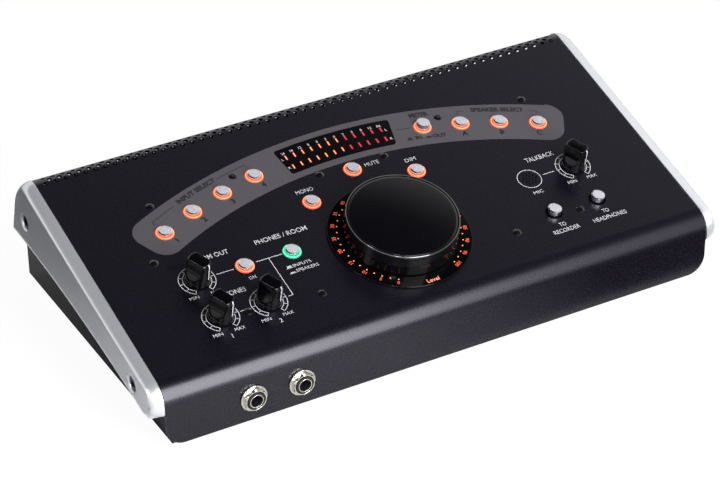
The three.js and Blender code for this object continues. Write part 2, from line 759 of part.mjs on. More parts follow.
// Pointer knob: a round glossy skirt that narrows to a flat-sided grip, bored for the shaft
function pointerKnob() {
  const top = knobTop;
  const body = turned([
    [0, knobLift], [knobBaseRadius, knobLift], [knobTopRadius, top - knobCrown],
    [knobTopRadius - knobCrown, top], [0, top],
  ], knobSides);
  const gripFloor = top - knobGripHeight;
  const scoop = side => {
    const near = side * knobGripWidth / 2;
    const far = side * (knobBaseRadius + overrun);
    const outline = [
      [near, top + overrun], [far, top + overrun], [far, gripFloor], [near, gripFloor + knobGripRise],
    ];
    const cutter = plate(outline, -knobBaseRadius - overrun, knobBaseRadius + overrun);
    return cutter.rotateX(Math.PI / 2);
  };
  const bore = rod(shaftRadius + seatGap, knobLift - overrun, shaftReach + seatGap, shaftSides);
  return cut(body, [scoop(-1), scoop(1), bore]).rotateZ(knobTurnInPhoto);
}

for (const { name, place } of smallKnobs) {
  const pot = potentiometer(potRadius, panelUnderside - seatGap, bushRadius, bushHeight, shaftRadius);
  addPiece(panel, `${name}_potentiometer`, pot, steel, ...place);
  addPiece(panel, `${name}_shaft`, shaft(shaftRadius, shaftReach), steel, ...place);
  addPiece(panel, `${name}_knob`, pointerKnob(), glossBlack, ...place);
}

// Volume control: scale disc let into the panel, potentiometer, shaft, hollow knob and its top cap
function scaleDisc() {
  const flangeFloor = seatGap;
  const bore = volumeBushRadius + runningGap;
  return turned([
    [bore, flangeFloor - scaleBossDepth], [scaleBossRadius, flangeFloor - scaleBossDepth],
    [scaleBossRadius, flangeFloor], [scaleRadius, flangeFloor], [scaleRadius, flangeFloor + scaleThickness],
    [bore, flangeFloor + scaleThickness], [bore, flangeFloor - scaleBossDepth],
  ], volumeSides);
}

function volumeKnob() {
  const bore = volumeShaftRadius + seatGap;
  const boreRoof = volumeShaftReach + seatGap;
  const ceiling = volumeCapSeat - volumeRoof;
  const hubFoot = volumeLift + seatGap;
  const skirt = volumeBaseRadius - volumeWall;
  const rimInner = volumeTopRadius - volumeRim - volumeCapInset;
  return turned([
    [0, boreRoof], [bore, boreRoof], [bore, hubFoot], [volumeHubRadius, hubFoot],
    [volumeHubRadius, ceiling], [skirt, ceiling], [skirt, volumeLift],
    [volumeBaseRadius, volumeLift], [volumeTopRadius, volumeHeight - volumeRim],
    [volumeTopRadius - volumeRim, volumeHeight], [rimInner, volumeHeight],
    [rimInner, volumeCapSeat], [0, volumeCapSeat],
  ], volumeSides);
}

function volumeCap() {
  const radius = volumeTopRadius - volumeRim - volumeCapInset - seatGap;
  return rod(radius, volumeCapSeat + seatGap, volumeHeight, volumeSides);
}
const volumePotTop = seatGap - scaleBossDepth - seatGap;
const volumePot = potentiometer(
  volumePotRadius, volumePotTop, volumeBushRadius, seatGap + scaleThickness, volumeShaftRadius);
addPiece(panel, 'volume_scale_disc', scaleDisc(), glossBlack, 0, volumeRow);
addPiece(panel, 'volume_potentiometer', volumePot, steel, 0, volumeRow);
addPiece(panel, 'volume_shaft', shaft(volumeShaftRadius, volumeShaftReach), steel, 0, volumeRow);
addPiece(panel, 'volume_knob', volumeKnob(), glossBlack, 0, volumeRow);
addPiece(panel, 'volume_knob_cap', volumeCap(), matteBlack, 0, volumeRow);

// Talkback microphone capsule in its boot, between the board and the panel
addPiece(panel, 'talkback_microphone', rod(micRadius, boardTop + seatGap, panelUnderside - seatGap, potSides),
  rubberBlack, micColumn, midRow);

// Headphone sockets with their nuts and washers
function phonesJack() {
  const bodyFront = coverSheet + seatGap;
  const halfWidth = jackBodyWidth / 2;
  const halfHeight = jackBodyHeight / 2;
  const body = block(-halfWidth, halfWidth, bodyFront, bodyFront + jackBodyLength, -halfHeight, halfHeight);
  const barrel = towardsRear(rod(jackBarrelRadius, -jackBarrelReach, bodyFront + overrun, jackSides));
  const boreEnd = jackBoreDepth - jackBarrelReach;
  const bore = towardsRear(rod(jackBoreRadius, -jackBarrelReach - overrun, boreEnd, jackSides));
  return cut(join(body, barrel), [bore]);
}

function jackNut() {
  const nutBack = -seatGap - jackWasherThickness;
  const washer = rod(jackWasherRadius, nutBack, -seatGap, jackSides);
  const nut = rod(jackNutRadius, nutBack - jackNutThickness, nutBack + jackWasherThickness / 2, nutSides);
  const bore = rod(jackBarrelRadius + seatGap, nutBack - jackNutThickness - overrun, overrun, jackSides);
  return towardsRear(cut(join(washer, nut), [bore]));
}

for (const [name, x] of jackColumns) {
  addPiece(casing, name, phonesJack(), blackMoulding, x, 0, jackHeight);
  addPiece(casing, `${name}_nut`, jackNut(), chrome, x, 0, jackHeight);
}

// Rear sockets: a block of line jacks, a square data socket and a round power inlet
function rearJackBlock() {
  const wallY = trayDepth - traySheet - seatGap;
  const places = rearJackPlaces();
  const body = block(
    rearJackX(0) - rearJackMargin, rearJackX(rearJackColumns - 1) + rearJackMargin,
    wallY - rearJackBodyLength, wallY,
    rearJackZ(0) - rearJackMargin, rearJackZ(rearJackRows - 1) + rearJackMargin);
  const tip = trayDepth + rearJackReach;
  const rearRod = (radius, y0, y1, x, z) => towardsRear(rod(radius, y0, y1, jackSides)).translate(x, 0, z);
  const barrels = places.map(([x, z]) => rearRod(jackBarrelRadius, wallY - overrun, tip, x, z));
  const boreFloor = wallY - rearJackBodyLength + blindFloor;
  const bores = places.map(([x, z]) => rearRod(jackBoreRadius, boreFloor, tip + overrun, x, z));
  return cut(join(body, ...barrels), bores);
}

function usbSocket() {
  const mouthY = trayDepth + rearSocketProud;
  const shell = block(-usbWidth / 2, usbWidth / 2, mouthY - usbLength, mouthY, -usbHeight / 2, usbHeight / 2);
  const mouthFloor = mouthY - usbLength + blindFloor;
  const mouth = block(-usbMouthWidth / 2, usbMouthWidth / 2, mouthFloor, mouthY + overrun,
    -usbMouthHeight / 2, usbMouthHeight / 2);
  return cut(shell, [mouth]);
}

function powerInlet() {
  const mouthY = trayDepth + rearSocketProud;
  const shell = towardsRear(rod(powerRadius, mouthY - powerLength, mouthY, jackSides));
  const mouthFloor = mouthY - powerLength + blindFloor;
  const mouth = towardsRear(rod(powerMouthRadius, mouthFloor, mouthY + overrun, jackSides));
  return cut(shell, [mouth]);
}
addPiece(casing, 'rear_jack_block', rearJackBlock(), blackMoulding);
addPiece(casing, 'usb_socket', usbSocket(), steel, usbX, 0, rearSocketHeight);
addPiece(casing, 'power_inlet', powerInlet(), blackMoulding, powerX, 0, rearSocketHeight);

export default controller;
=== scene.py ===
import math

import bmesh
import bpy
import numpy as np
from mathutils import Matrix, Vector
from mathutils.geometry import delaunay_2d_cdt


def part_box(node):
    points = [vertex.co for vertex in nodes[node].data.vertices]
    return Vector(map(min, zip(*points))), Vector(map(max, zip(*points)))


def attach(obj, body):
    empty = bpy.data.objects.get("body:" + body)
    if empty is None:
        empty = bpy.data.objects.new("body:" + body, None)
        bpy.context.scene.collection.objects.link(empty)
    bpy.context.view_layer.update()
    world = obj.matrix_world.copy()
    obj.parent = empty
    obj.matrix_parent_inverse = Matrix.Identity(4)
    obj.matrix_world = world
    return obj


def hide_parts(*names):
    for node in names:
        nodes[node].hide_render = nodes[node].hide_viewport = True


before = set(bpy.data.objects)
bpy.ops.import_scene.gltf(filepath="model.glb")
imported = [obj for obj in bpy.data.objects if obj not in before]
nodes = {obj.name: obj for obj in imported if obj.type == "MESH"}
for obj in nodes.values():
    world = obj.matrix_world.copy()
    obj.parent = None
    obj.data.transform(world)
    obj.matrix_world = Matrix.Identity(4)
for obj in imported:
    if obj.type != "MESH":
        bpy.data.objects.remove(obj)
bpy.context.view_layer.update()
scene = bpy.context.scene
scene.view_settings.view_transform = "Standard"
MM = 0.001


# The camera stands where the photograph was taken from: to the front left, looking down at 33 degrees
# with a long lens, so the panel is seen from above its front left corner.
CAMERA_PLACE = (-585.8, -1060.5, 798.3)
CAMERA_HEADING = -28.823
CAMERA_DIP = 32.595
CAMERA_ROLL = -0.557
LENS = 137.41
SENSOR_WIDTH = 36

camera_data = bpy.data.cameras.new("camera")
camera_data.lens = LENS
camera_data.sensor_width = SENSOR_WIDTH
camera = bpy.data.objects.new("camera", camera_data)
heading = Matrix.Rotation(math.radians(CAMERA_HEADING), 4, "Z")
dip = Matrix.Rotation(math.radians(90 - CAMERA_DIP), 4, "X")
roll = Matrix.Rotation(math.radians(CAMERA_ROLL), 4, "Z")
camera.matrix_world = Matrix.Translation(Vector(CAMERA_PLACE) * MM) @ heading @ dip @ roll
scene.collection.objects.link(camera)
scene.camera = camera


# The panel's own frame: u across from its middle, v up the slope from its front edge, w out of the paint.
# The box of the cover gives its place, and the panel is tilted by 15 degrees.
TILT = math.radians(15)
EDGE_HEIGHT = 31.8

cover_low, cover_high = (np.array(corner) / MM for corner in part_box("top_cover"))
casing_origin = np.array([0, cover_low[1], cover_low[2]])
panel_origin = casing_origin + np.array([0, 0, EDGE_HEIGHT])
panel_axes = np.array([
    [1, 0, 0],
    [0, math.cos(TILT), math.sin(TILT)],
    [0, -math.sin(TILT), math.cos(TILT)],
])


def stacked(*coordinates):
    """Coordinates of any matching shapes as one array of points."""
    return np.stack(np.broadcast_arrays(*coordinates), -1).astype(float)


def on_panel(u, v, w):
    """Points of the panel in millimetres: its origin plus u, v and w along its three axes."""
    return panel_origin + stacked(u, v, w) @ panel_axes


def panel_coordinates(mesh):
    """The u, v and w of a mesh's vertices, by the same three axes the other way."""
    points = np.empty(3 * len(mesh.vertices))
    mesh.vertices.foreach_get("co", points)
    return (points.reshape(-1, 3) / MM - panel_origin) @ panel_axes.T


def panel_place(node):
    """The middle of a CAD node, across and up the panel."""
    local = panel_coordinates(nodes[node].data)
    return (local.max(0)[:2] + local.min(0)[:2]) / 2


# A pale table under a dim even sky. A tall softbox in front is the key light, and two small strips at the
# left are seen by polished surfaces alone. Gloss sees a white sky low down and a dark one overhead, and two
# patches of painted shade on the table, beside the left cheek and in front on the right.
FLOOR_HALF_WIDTH = 4000
FLOOR_COLOUR = "#f2f2f2"
# The painted shade that gloss alone sees on the table: its colour, and the two patches' edges and depths.
REFLECTED_SHADE_COLOUR = "#1c1c1c"
LEFT_SHADE_EDGE = (-192, -178)
LEFT_SHADE_DEPTH = (-60, 100)
RIGHT_SHADE_EDGE = (-20, 110)
RIGHT_SHADE_DEPTH = (-96, -92)
FLOOR_LIFT = 0.9
FLOOR_GLOW = 1.06
SKY_LEVEL = 0.3
HORIZON = 0.65
DARK_FROM = 0.83
CEILING_LEVEL = 0.02


def linear(code):
    """An sRGB hex colour in linear light, as red, green, blue and an alpha of 1."""
    srgb = np.array([int(code[i:i + 2], 16) for i in (1, 3, 5)]) / 255
    light = np.where(srgb <= 0.04045, srgb / 12.92, ((srgb + 0.055) / 1.055) ** 2.4)
    return (*light.tolist(), 1.0)


def add(tree, kind, inputs=None, **settings):
    """Adds a shader node, makes its settings, and fills or links its inputs."""
    node = tree.nodes.new(kind)
    for name, value in settings.items():
        setattr(node, name, value)
    for socket, value in (inputs or {}).items():
        if isinstance(value, bpy.types.NodeSocket):
            tree.links.new(value, node.inputs[socket])
        else:
            node.inputs[socket].default_value = value
    return node


def empty_tree(owner):
    """The node tree of a material or a world, cleared."""
    owner.use_nodes = True
    owner.node_tree.nodes.clear()
    return owner.node_tree


world = bpy.data.worlds.new("studio")
scene.world = world
tree = empty_tree(world)
path = add(tree, "ShaderNodeLightPath")
direction = add(tree, "ShaderNodeTexCoord")
height = add(tree, "ShaderNodeSeparateXYZ", {"Vector": direction.outputs["Generated"]})
seen_high = add(tree, "ShaderNodeMapRange", {
    "Value": height.outputs["Z"], "From Min": HORIZON, "From Max": DARK_FROM,
    "To Min": 1.0, "To Max": CEILING_LEVEL}, interpolation_type="SMOOTHSTEP")
for_gloss = add(tree, "ShaderNodeMix", {
    0: path.outputs["Is Glossy Ray"], 2: SKY_LEVEL, 3: seen_high.outputs["Result"]})
strength = add(tree, "ShaderNodeMix", {
    0: path.outputs["Is Camera Ray"], 2: for_gloss.outputs[0], 3: 1.0})
background = add(tree, "ShaderNodeBackground", {"Color": (1, 1, 1, 1), "Strength": strength.outputs[0]})
add(tree, "ShaderNodeOutputWorld", {"Surface": background.outputs[0]})

floor_material = bpy.data.materials.new("pale_table")
tree = empty_tree(floor_material)
path = add(tree, "ShaderNodeLightPath")
place = add(tree, "ShaderNodeTexCoord")
across = add(tree, "ShaderNodeSeparateXYZ", {"Vector": place.outputs["Object"]})
# Two patches of the table are painted dark for glossy rays alone: painted shade of the casing, seen in its
# reflections.
shade_patches = []
for falling, falling_ends, rising, rising_ends in (
        ("X", LEFT_SHADE_EDGE, "Y", LEFT_SHADE_DEPTH), ("Y", RIGHT_SHADE_DEPTH, "X", RIGHT_SHADE_EDGE)):
    edge = add(tree, "ShaderNodeMapRange", {
        "Value": across.outputs[falling], "From Min": falling_ends[0] * MM, "From Max": falling_ends[1] * MM,
        "To Min": 1.0, "To Max": 0.0})
    shade_patches.append(add(tree, "ShaderNodeMapRange", {
        "Value": across.outputs[rising], "From Min": rising_ends[0] * MM, "From Max": rising_ends[1] * MM,
        "To Min": 0.0, "To Max": edge.outputs["Result"]}))
either_shade = add(tree, "ShaderNodeMath", {
    0: shade_patches[0].outputs["Result"], 1: shade_patches[1].outputs["Result"]}, operation="MAXIMUM")
reflected_shade = add(tree, "ShaderNodeMath", {
    0: path.outputs["Is Glossy Ray"], 1: either_shade.outputs[0]}, operation="MULTIPLY")
colour = add(tree, "ShaderNodeMix", {
    0: reflected_shade.outputs[0], 6: linear(FLOOR_COLOUR), 7: linear(REFLECTED_SHADE_COLOUR)}, data_type="RGBA")
paper = add(tree, "ShaderNodeBsdfDiffuse", {"Color": colour.outputs[2]})
lit = add(tree, "ShaderNodeEmission", {"Color": (1, 1, 1, 1), "Strength": FLOOR_GLOW})
share = add(tree, "ShaderNodeMath", {
    0: path.outputs["Is Camera Ray"], 1: FLOOR_LIFT}, operation="MULTIPLY")
surface = add(tree, "ShaderNodeMixShader", {0: share.outputs[0], 1: paper.outputs[0], 2: lit.outputs[0]})
add(tree, "ShaderNodeOutputMaterial", {"Surface": surface.outputs[0]})

floor_mesh = bpy.data.meshes.new("table_top")
half = FLOOR_HALF_WIDTH * MM
floor_corners = [(-half, -half, 0), (half, -half, 0), (half, half, 0), (-half, half, 0)]
floor_mesh.from_pydata(floor_corners, [], [(0, 1, 2, 3)])
floor_mesh.materials.append(floor_material)
table_top = bpy.data.objects.new("table_top", floor_mesh)
scene.collection.objects.link(table_top)


def add_lamp(name, place, target, width, depth, power, gloss_only=False):
    """A rectangular soft lamp in millimetres that faces its target, for all surfaces or for gloss alone."""
    lamp_data = bpy.data.lights.new(name, "AREA")
    lamp_data.shape = "RECTANGLE"
    lamp_data.size = width * MM
    lamp_data.size_y = depth * MM
    lamp_data.energy = power
    lamp = bpy.data.objects.new(name, lamp_data)
    lamp.location = Vector(place) * MM
    lamp.rotation_euler = (Vector(place) - Vector(target)).to_track_quat("Z", "Y").to_euler()
    lamp.visible_camera = False
    lamp.visible_diffuse = not gloss_only
    scene.collection.objects.link(lamp)


add_lamp("softbox", place=(120, -790, 440), target=(120, -46, 72), width=450, depth=860, power=12.5)
add_lamp("strip_middle", place=(-380, -800, 620), target=(0, -30, 60), width=120, depth=200, power=2.4,
         gloss_only=True)
add_lamp("strip_left", place=(-800, -230, 640), target=(0, -30, 60), width=160, depth=260, power=1.6,
         gloss_only=True)


# The base tray: floor, side walls and rear socket wall bent from 1.2 mm steel and powder-coated black.
# Its mesh is a copy of the CAD node with its coplanar triangles merged and its edges slightly rounded.
TRAY_EDGE = 0.2
GRIT = 0.7
PATCH = 30
DOUBLED = 0.001
FLAT_ANGLE = math.radians(1)
EDGE_ANGLE = math.radians(30)


def finished_material(name, tree_shader):
    """A material whose surface is what the given function builds in its tree."""
    material = bpy.data.materials.new(name)
    tree = empty_tree(material)
    add(tree, "ShaderNodeOutputMaterial", {"Surface": tree_shader(tree).outputs[0]})
    return material


def object_noise(tree, size, detail=2.0):
    """Noise whose features are about size millimetres wide, on the piece's own coordinates."""
    place = add(tree, "ShaderNodeTexCoord")
    return add(tree, "ShaderNodeTexNoise", {
        "Vector": place.outputs["Object"], "Scale": 1 / (size * MM), "Detail": detail})


def powder_coat(tree):
    """Baked powder paint: nearly black, satin, with the fine orange peel and grit of the powder."""
    grit = object_noise(tree, GRIT)
    patches = object_noise(tree, PATCH)
    colour = add(tree, "ShaderNodeMix", {
        0: patches.outputs["Fac"], 6: linear("#0c0a13"), 7: linear("#0f0c16")}, data_type="RGBA")
    roughness = add(tree, "ShaderNodeMapRange", {
        "Value": grit.outputs["Fac"], "To Min": 0.23, "To Max": 0.32})
    bump = add(tree, "ShaderNodeBump", {
        "Height": grit.outputs["Fac"], "Strength": 0.12, "Distance": 0.05 * MM})
    return add(tree, "ShaderNodeBsdfPrincipled", {
        "Base Color": colour.outputs[2], "Roughness": roughness.outputs["Result"], "IOR": 1.5,
        "Specular Tint": linear("#f4f3ff"), "Normal": bump.outputs["Normal"]})


black_powder_coat = finished_material("black_powder_coat", powder_coat)


def finish_mesh(mesh, sharp):
    """Merges doubled points, turns the faces outwards and smooths all edges flatter than an angle."""
    work = bmesh.new()
    work.from_mesh(mesh)
    bmesh.ops.remove_doubles(work, verts=work.verts, dist=DOUBLED * MM)
    bmesh.ops.recalc_face_normals(work, faces=work.faces)
    work.to_mesh(mesh)
    work.free()
    mesh.shade_smooth()
    mesh.set_sharp_from_angle(angle=math.radians(sharp))


def placed(name, mesh, material, body):
    """An object for a mesh that rides on a body and takes a material."""
    mesh.materials.clear()
    mesh.materials.append(material)
    piece = bpy.data.objects.new(name, mesh)
    scene.collection.objects.link(piece)
    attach(piece, body)
    return piece


def edged_copy(node, name, edge, material, body):
    """A copy of a CAD node, its doubles and coplanar triangles merged, with small round edges."""
    mesh = nodes[node].data.copy()
    mesh.name = name
    work = bmesh.new()
    work.from_mesh(mesh)
    bmesh.ops.remove_doubles(work, verts=work.verts, dist=DOUBLED * MM)
    bmesh.ops.dissolve_limit(work, angle_limit=FLAT_ANGLE, verts=work.verts, edges=work.edges)
    work.to_mesh(mesh)
    work.free()
    piece = placed(name, mesh, material, body)
    bevel = piece.modifiers.new("edges", "BEVEL")
    bevel.width = edge * MM
    bevel.segments = 2
    bevel.limit_method = "ANGLE"
    bevel.angle_limit = EDGE_ANGLE
    bevel.harden_normals = True
    mesh.shade_smooth()
    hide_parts(node)
    return piece


edged_copy("base_tray", "steel_tray", TRAY_EDGE, black_powder_coat, "root")


# Four rubber feet stand under the tray. Each is a moulded disc with a rounded rim and a shallow hollow
# underneath.
FOOT_EDGE = 0.8
FOOT_RIM = 0.3
FOOT_TAPER = 0.4
FOOT_HOLLOW = 4.5
FOOT_HOLLOW_SLOPE = 0.5
FOOT_HOLLOW_DEPTH = 0.8
FOOT_SIDES = 48


def grained(colour, roughness, size, strength, depth):
    """A plain finish with a fine grain: its features are about size millimetres wide, and depth deep."""
    def shader(tree):
        grain = object_noise(tree, size)
        bump = add(tree, "ShaderNodeBump", {
            "Height": grain.outputs["Fac"], "Strength": strength, "Distance": depth * MM})
        return add(tree, "ShaderNodeBsdfPrincipled", {
            "Base Color": linear(colour), "Roughness": roughness, "Normal": bump.outputs["Normal"]})
    return shader


# Moulded rubber: dull and black, with the fine grain of its mould.
rubber = finished_material("moulded_rubber", grained("#141416", 0.85, size=0.6, strength=0.3, depth=0.05))


def grid_faces(rows, columns, closed=False):
    """The quads of a grid of points numbered row by row. A closed grid joins its last column to its first."""
    index = np.arange(rows * columns).reshape(rows, columns)
    if closed:
        index = np.concatenate([index, index[:, :1]], 1)
    quads = np.stack([index[:-1, :-1], index[:-1, 1:], index[1:, 1:], index[1:, :-1]], -1)
    return quads.reshape(-1, 4).tolist()


def eased(corners, steps=5):
    """A path through corners [x, y, size]: each is cut back by its size on both sides, and the cut is bridged
    by the quadratic curve (1 - t)^2 a + 2 t (1 - t) corner + t^2 b."""
    corners = np.array([(*corner, 0)[:3] for corner in corners], float)
    places, sizes = corners[:, :2], corners[:, 2]
    parts = [places[:1]]
    t = np.linspace(0, 1, steps + 1)[:, None]
    for before, corner, after, size in zip(places[:-2], places[1:-1], places[2:], sizes[1:-1]):
        a = corner + (before - corner) * size / max(np.linalg.norm(before - corner), size, 1e-9)
        b = corner + (after - corner) * size / max(np.linalg.norm(after - corner), size, 1e-9)
        curve = (1 - t) ** 2 * a + 2 * t * (1 - t) * corner + t ** 2 * b
        parts.append(curve if size else corner[None])
    return np.concatenate([*parts, places[-1:]])


def turned(profile, sides):
    """A profile of [radius, height] points turned about its axis: x = r cos a, y = r sin a, z = height."""
    angle = np.arange(sides) * 2 * math.pi / sides
    radius, rise = profile[:, :1], profile[:, 1:2]
    points = stacked(radius * np.cos(angle), radius * np.sin(angle), rise + 0 * angle)
    return points, grid_faces(len(profile), sides, closed=True)


def new_piece(name, parts, material, body="root", sharp=35):
    """One piece from parts, each an array of points in millimetres and the faces between them."""
    points, faces, count = [], [], 0
    for part_points, part_faces in parts:
        part_points = np.asarray(part_points, float).reshape(-1, 3)
        points.append(part_points)
        faces.extend([[corner + count for corner in face] for face in part_faces])
        count += len(part_points)
    mesh = bpy.data.meshes.new(name)
    mesh.from_pydata(np.concatenate(points) * MM, [], faces)
    finish_mesh(mesh, sharp)
    return placed(name, mesh, material, body)


for corner_name in ("front_left", "front_right", "rear_left", "rear_right"):
    low, high = (np.array(corner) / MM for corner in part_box(f"foot_{corner_name}"))
    radius = (high[0] - low[0]) / 2
    thickness = high[2] - low[2]
    profile = eased([
        (0, thickness), (radius - FOOT_RIM, thickness), (radius, thickness / 2, FOOT_RIM),
        (radius - FOOT_TAPER, 0, FOOT_EDGE), (FOOT_HOLLOW, 0, FOOT_RIM),
        (FOOT_HOLLOW - FOOT_HOLLOW_SLOPE, FOOT_HOLLOW_DEPTH, FOOT_RIM), (0, FOOT_HOLLOW_DEPTH)])
    points, faces = turned(profile, FOOT_SIDES)
    middle = np.array([(low[0] + high[0]) / 2, (low[1] + high[1]) / 2, low[2]])
    foot = new_piece(f"rubber_foot_{corner_name}", [(points + middle, faces)], rubber)
    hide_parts(f"foot_{corner_name}")


# Inside the case: the green circuit board with its switches, the potentiometers and their steel shafts, the
# bar behind the meter and the microphone capsule. Their CAD shapes stay, with a material each.
def dress(node, material):
    """Gives a CAD node a new material in each of its slots."""
    for slot in nodes[node].material_slots:
        slot.material = material


def solder_mask(tree):
    """Green lacquer over woven glass, with the darker tracks as a fine blotchy pattern."""
    tracks = object_noise(tree, 3, detail=0.0)
    step = add(tree, "ShaderNodeMapRange", {
        "Value": tracks.outputs["Fac"], "From Min": 0.48, "From Max": 0.52})
    colour = add(tree, "ShaderNodeMix", {
        0: step.outputs["Result"], 6: linear("#17442a"), 7: linear("#1f5a37")}, data_type="RGBA")
    return add(tree, "ShaderNodeBsdfPrincipled", {"Base Color": colour.outputs[2], "Roughness": 0.35})


def uneven_gloss(colour, low, high, size, detail=2.0, **more):
    """A finish whose roughness wanders between low and high, in patches about size millimetres wide."""
    def shader(tree):
        patches = object_noise(tree, size, detail)
        roughness = add(tree, "ShaderNodeMapRange", {
            "Value": patches.outputs["Fac"], "To Min": low, "To Max": high})
        return add(tree, "ShaderNodeBsdfPrincipled", {
            "Base Color": linear(colour), "Roughness": roughness.outputs["Result"], **more})
    return shader


board_lacquer = finished_material("green_solder_mask", solder_mask)
# Zinc-plated steel: bright, with a slightly uneven satin.
bright_steel = finished_material(
    "zinc_plated_steel", uneven_gloss("#a9a9ad", 0.22, 0.4, size=2, Metallic=1.0))
# Moulded black nylon with a faint grain.
nylon = finished_material("moulded_nylon", grained("#0f0f11", 0.45, size=0.5, strength=0.2, depth=0.03))
KNOBS = ("studio", "phones_1", "phones_2", "talkback")
dress("main_circuit_board", board_lacquer)
dress("meter_led_bar", nylon)
dress("talkback_microphone", rubber)
dress("rear_jack_block", nylon)
for name in (*KNOBS, "volume"):
    dress(f"{name}_potentiometer", bright_steel)
    dress(f"{name}_shaft", bright_steel)


# The rear sockets: the square data socket's plated steel shell and the moulded round power inlet stand in
# the rear wall. Both are copies of their CAD nodes with small round edges.
DATA_SOCKET_EDGE = 0.15
POWER_INLET_EDGE = 0.25

edged_copy("usb_socket", "data_socket_shell", DATA_SOCKET_EDGE, bright_steel, "root")
edged_copy("power_inlet", "power_inlet_shell", POWER_INLET_EDGE, nylon, "root")


# The top cover: one steel sheet, punched, bent down at the front and at the back, and powder-coated. It is
# laid out flat with all its holes, meshed, folded over the two bends and given its thickness.
SHEET = 0.7
FRONT_BEND = 12.0
REAR_BEND = 9.5
REAR_BEND_START = 150.3
LIP_HEIGHT = 40.4
CORNER = 9.8
BEND_STEPS = 12
SUPPORT = 0.25
VENT_PITCH = 5.5
VENT_ROW_STEP = 2.4
VENT_RADIUS = 1.3
VENTS = 56
VENT_ROWS = 10
RING_HOLE = 5.05
TALK_HOLE = 4.6
SHAFT_HOLE = 3.7
DIAL_HOLE = 33.9
MIC_PLACE = (83.9, 60.7)
MIC_HOLE = 0.55
MIC_PITCH = 1.9
MIC_RINGS = 2
JACK_HEIGHT = 13.0
JACK_HOLE = 4.9
BAND_CENTRE = -139.7
BAND_RADIUS = 260.4
METER_HALF_WIDTH = 31.7
METER_DEPTH = 17.9
METER_FLARE = 2.3
METER_CORNER = 1.8
METER_STEPS = 40
CORNER_STEPS = 8
GAP = 0.3

front_angle = math.pi / 2 - TILT
half_width = cover_high[0]
flat_start = FRONT_BEND * math.tan(front_angle / 2)
front_bend_end = flat_start - FRONT_BEND * front_angle
front_length = EDGE_HEIGHT - flat_start
rear_bend_end = REAR_BEND_START + REAR_BEND * math.pi / 2
slope_top = EDGE_HEIGHT + (REAR_BEND_START + REAR_BEND) * math.sin(TILT) - REAR_BEND * math.cos(TILT)
sheet_front = front_bend_end - front_length
sheet_rear = rear_bend_end + (slope_top - LIP_HEIGHT) / math.cos(TILT)

LATCHING = ("source_1", "source_2", "source_3", "source_4", "meter", "monitor_a", "monitor_b", "monitor_c",
            "mono", "mute", "dim", "studio_on", "phones_source")
TALK = ("talk_to_recorder", "talk_to_phones")
button_places = {name: panel_place(f"{name}_button") for name in (*LATCHING, *TALK)}
knob_places = {name: panel_place(f"{name}_shaft") for name in KNOBS}
dial_place = panel_place("volume_shaft")


def folded(x, s, w=0.0):
    """The place of a point x across and s along the sheet, w above its paint. Along the flat s is the panel's
    v. In a bend of radius R the sheet turns by t = distance / R about the bend's centre, and past it it
    runs straight on."""
    front_turn = np.clip((flat_start - s) / FRONT_BEND, 0, front_angle)
    rear_turn = np.clip((s - REAR_BEND_START) / REAR_BEND, 0, math.pi / 2)
    front_run = np.maximum(front_bend_end - s, 0)
    rear_run = np.maximum(s - rear_bend_end, 0)
    v = np.clip(s, flat_start, REAR_BEND_START)
    v = v - (FRONT_BEND + w) * np.sin(front_turn) - front_run * np.cos(front_turn)
    v = v + (REAR_BEND + w) * np.sin(rear_turn) + rear_run * np.cos(rear_turn)
    out = (FRONT_BEND + w) * np.cos(front_turn) - FRONT_BEND - front_run * np.sin(front_turn)
    out = out + (REAR_BEND + w) * np.cos(rear_turn) - REAR_BEND - rear_run * np.sin(rear_turn) - w
    return on_panel(x, v, out)


def circle(x, y, radius, sides):
    """A regular polygon round a place, in the flat."""
    angle = (np.arange(sides) + 0.5) * 2 * math.pi / sides
    return stacked(x + radius * np.cos(angle), y + radius * np.sin(angle))


def along_band(radius, angle):
    """Places at a radius and a clockwise angle about the band's centre: u = R sin a, v = centre + R cos a."""
    return stacked(radius * np.sin(angle), BAND_CENTRE + radius * np.cos(angle))


def meter_outline(grow):
    """The meter's curved opening, made larger all round by grow. Its outer arc runs on to the right by the
    flare, and its corners are rounded."""
    steps = METER_STEPS
    half_angle = math.asin((METER_HALF_WIDTH + grow) / BAND_RADIUS)
    inner, outer = (BAND_RADIUS + side * (METER_DEPTH / 2 + grow) for side in (-1, 1))
    outer_arc = along_band(outer, np.linspace(-half_angle, half_angle + METER_FLARE / outer, steps + 1))
    inner_arc = along_band(inner, np.linspace(half_angle, -half_angle, steps + 1))
    corners = {0, steps, steps + 1, 2 * steps + 1}
    path = [(*place, (METER_CORNER + grow) * (i in corners))
            for i, place in enumerate(np.concatenate([outer_arc, inner_arc]))]
    return eased([path[steps // 2], *path[steps // 2 + 1:], *path[:steps // 2], path[steps // 2]], 4)[:-1]


def within(loop, points):
    """Whether points lie in a closed loop: a line to the right of such a point crosses its edges an odd
    number of times."""
    x, y = points[:, :1], points[:, 1:]
    a, b = loop, np.roll(loop, -1, 0)
    rise = np.where(b[:, 1] == a[:, 1], 1e-12, b[:, 1] - a[:, 1])
    crosses = (a[:, 1] > y) != (b[:, 1] > y)
    left = x < a[:, 0] + (y - a[:, 1]) / rise * (b[:, 0] - a[:, 0])
    return np.sum(crosses & left, 1) % 2 == 1


def meshed(loops, lines=()):
    """Delaunay triangles of the first loop with the others as fixed edges, and with lines across it."""
    points, edges = [], []
    for loop in loops:
        first = len(points)
        points.extend(Vector(point) for point in loop)
        edges.extend((first + i, first + (i + 1) % len(loop)) for i in range(len(loop)))
    for line in lines:
        edges.append((len(points), len(points) + 1))
        points.extend(Vector(point) for point in line)
    found = delaunay_2d_cdt(points, edges, [], 1, 1e-5, False)
    corners = np.array([tuple(point) for point in found[0]])
    return corners, np.array(found[2])


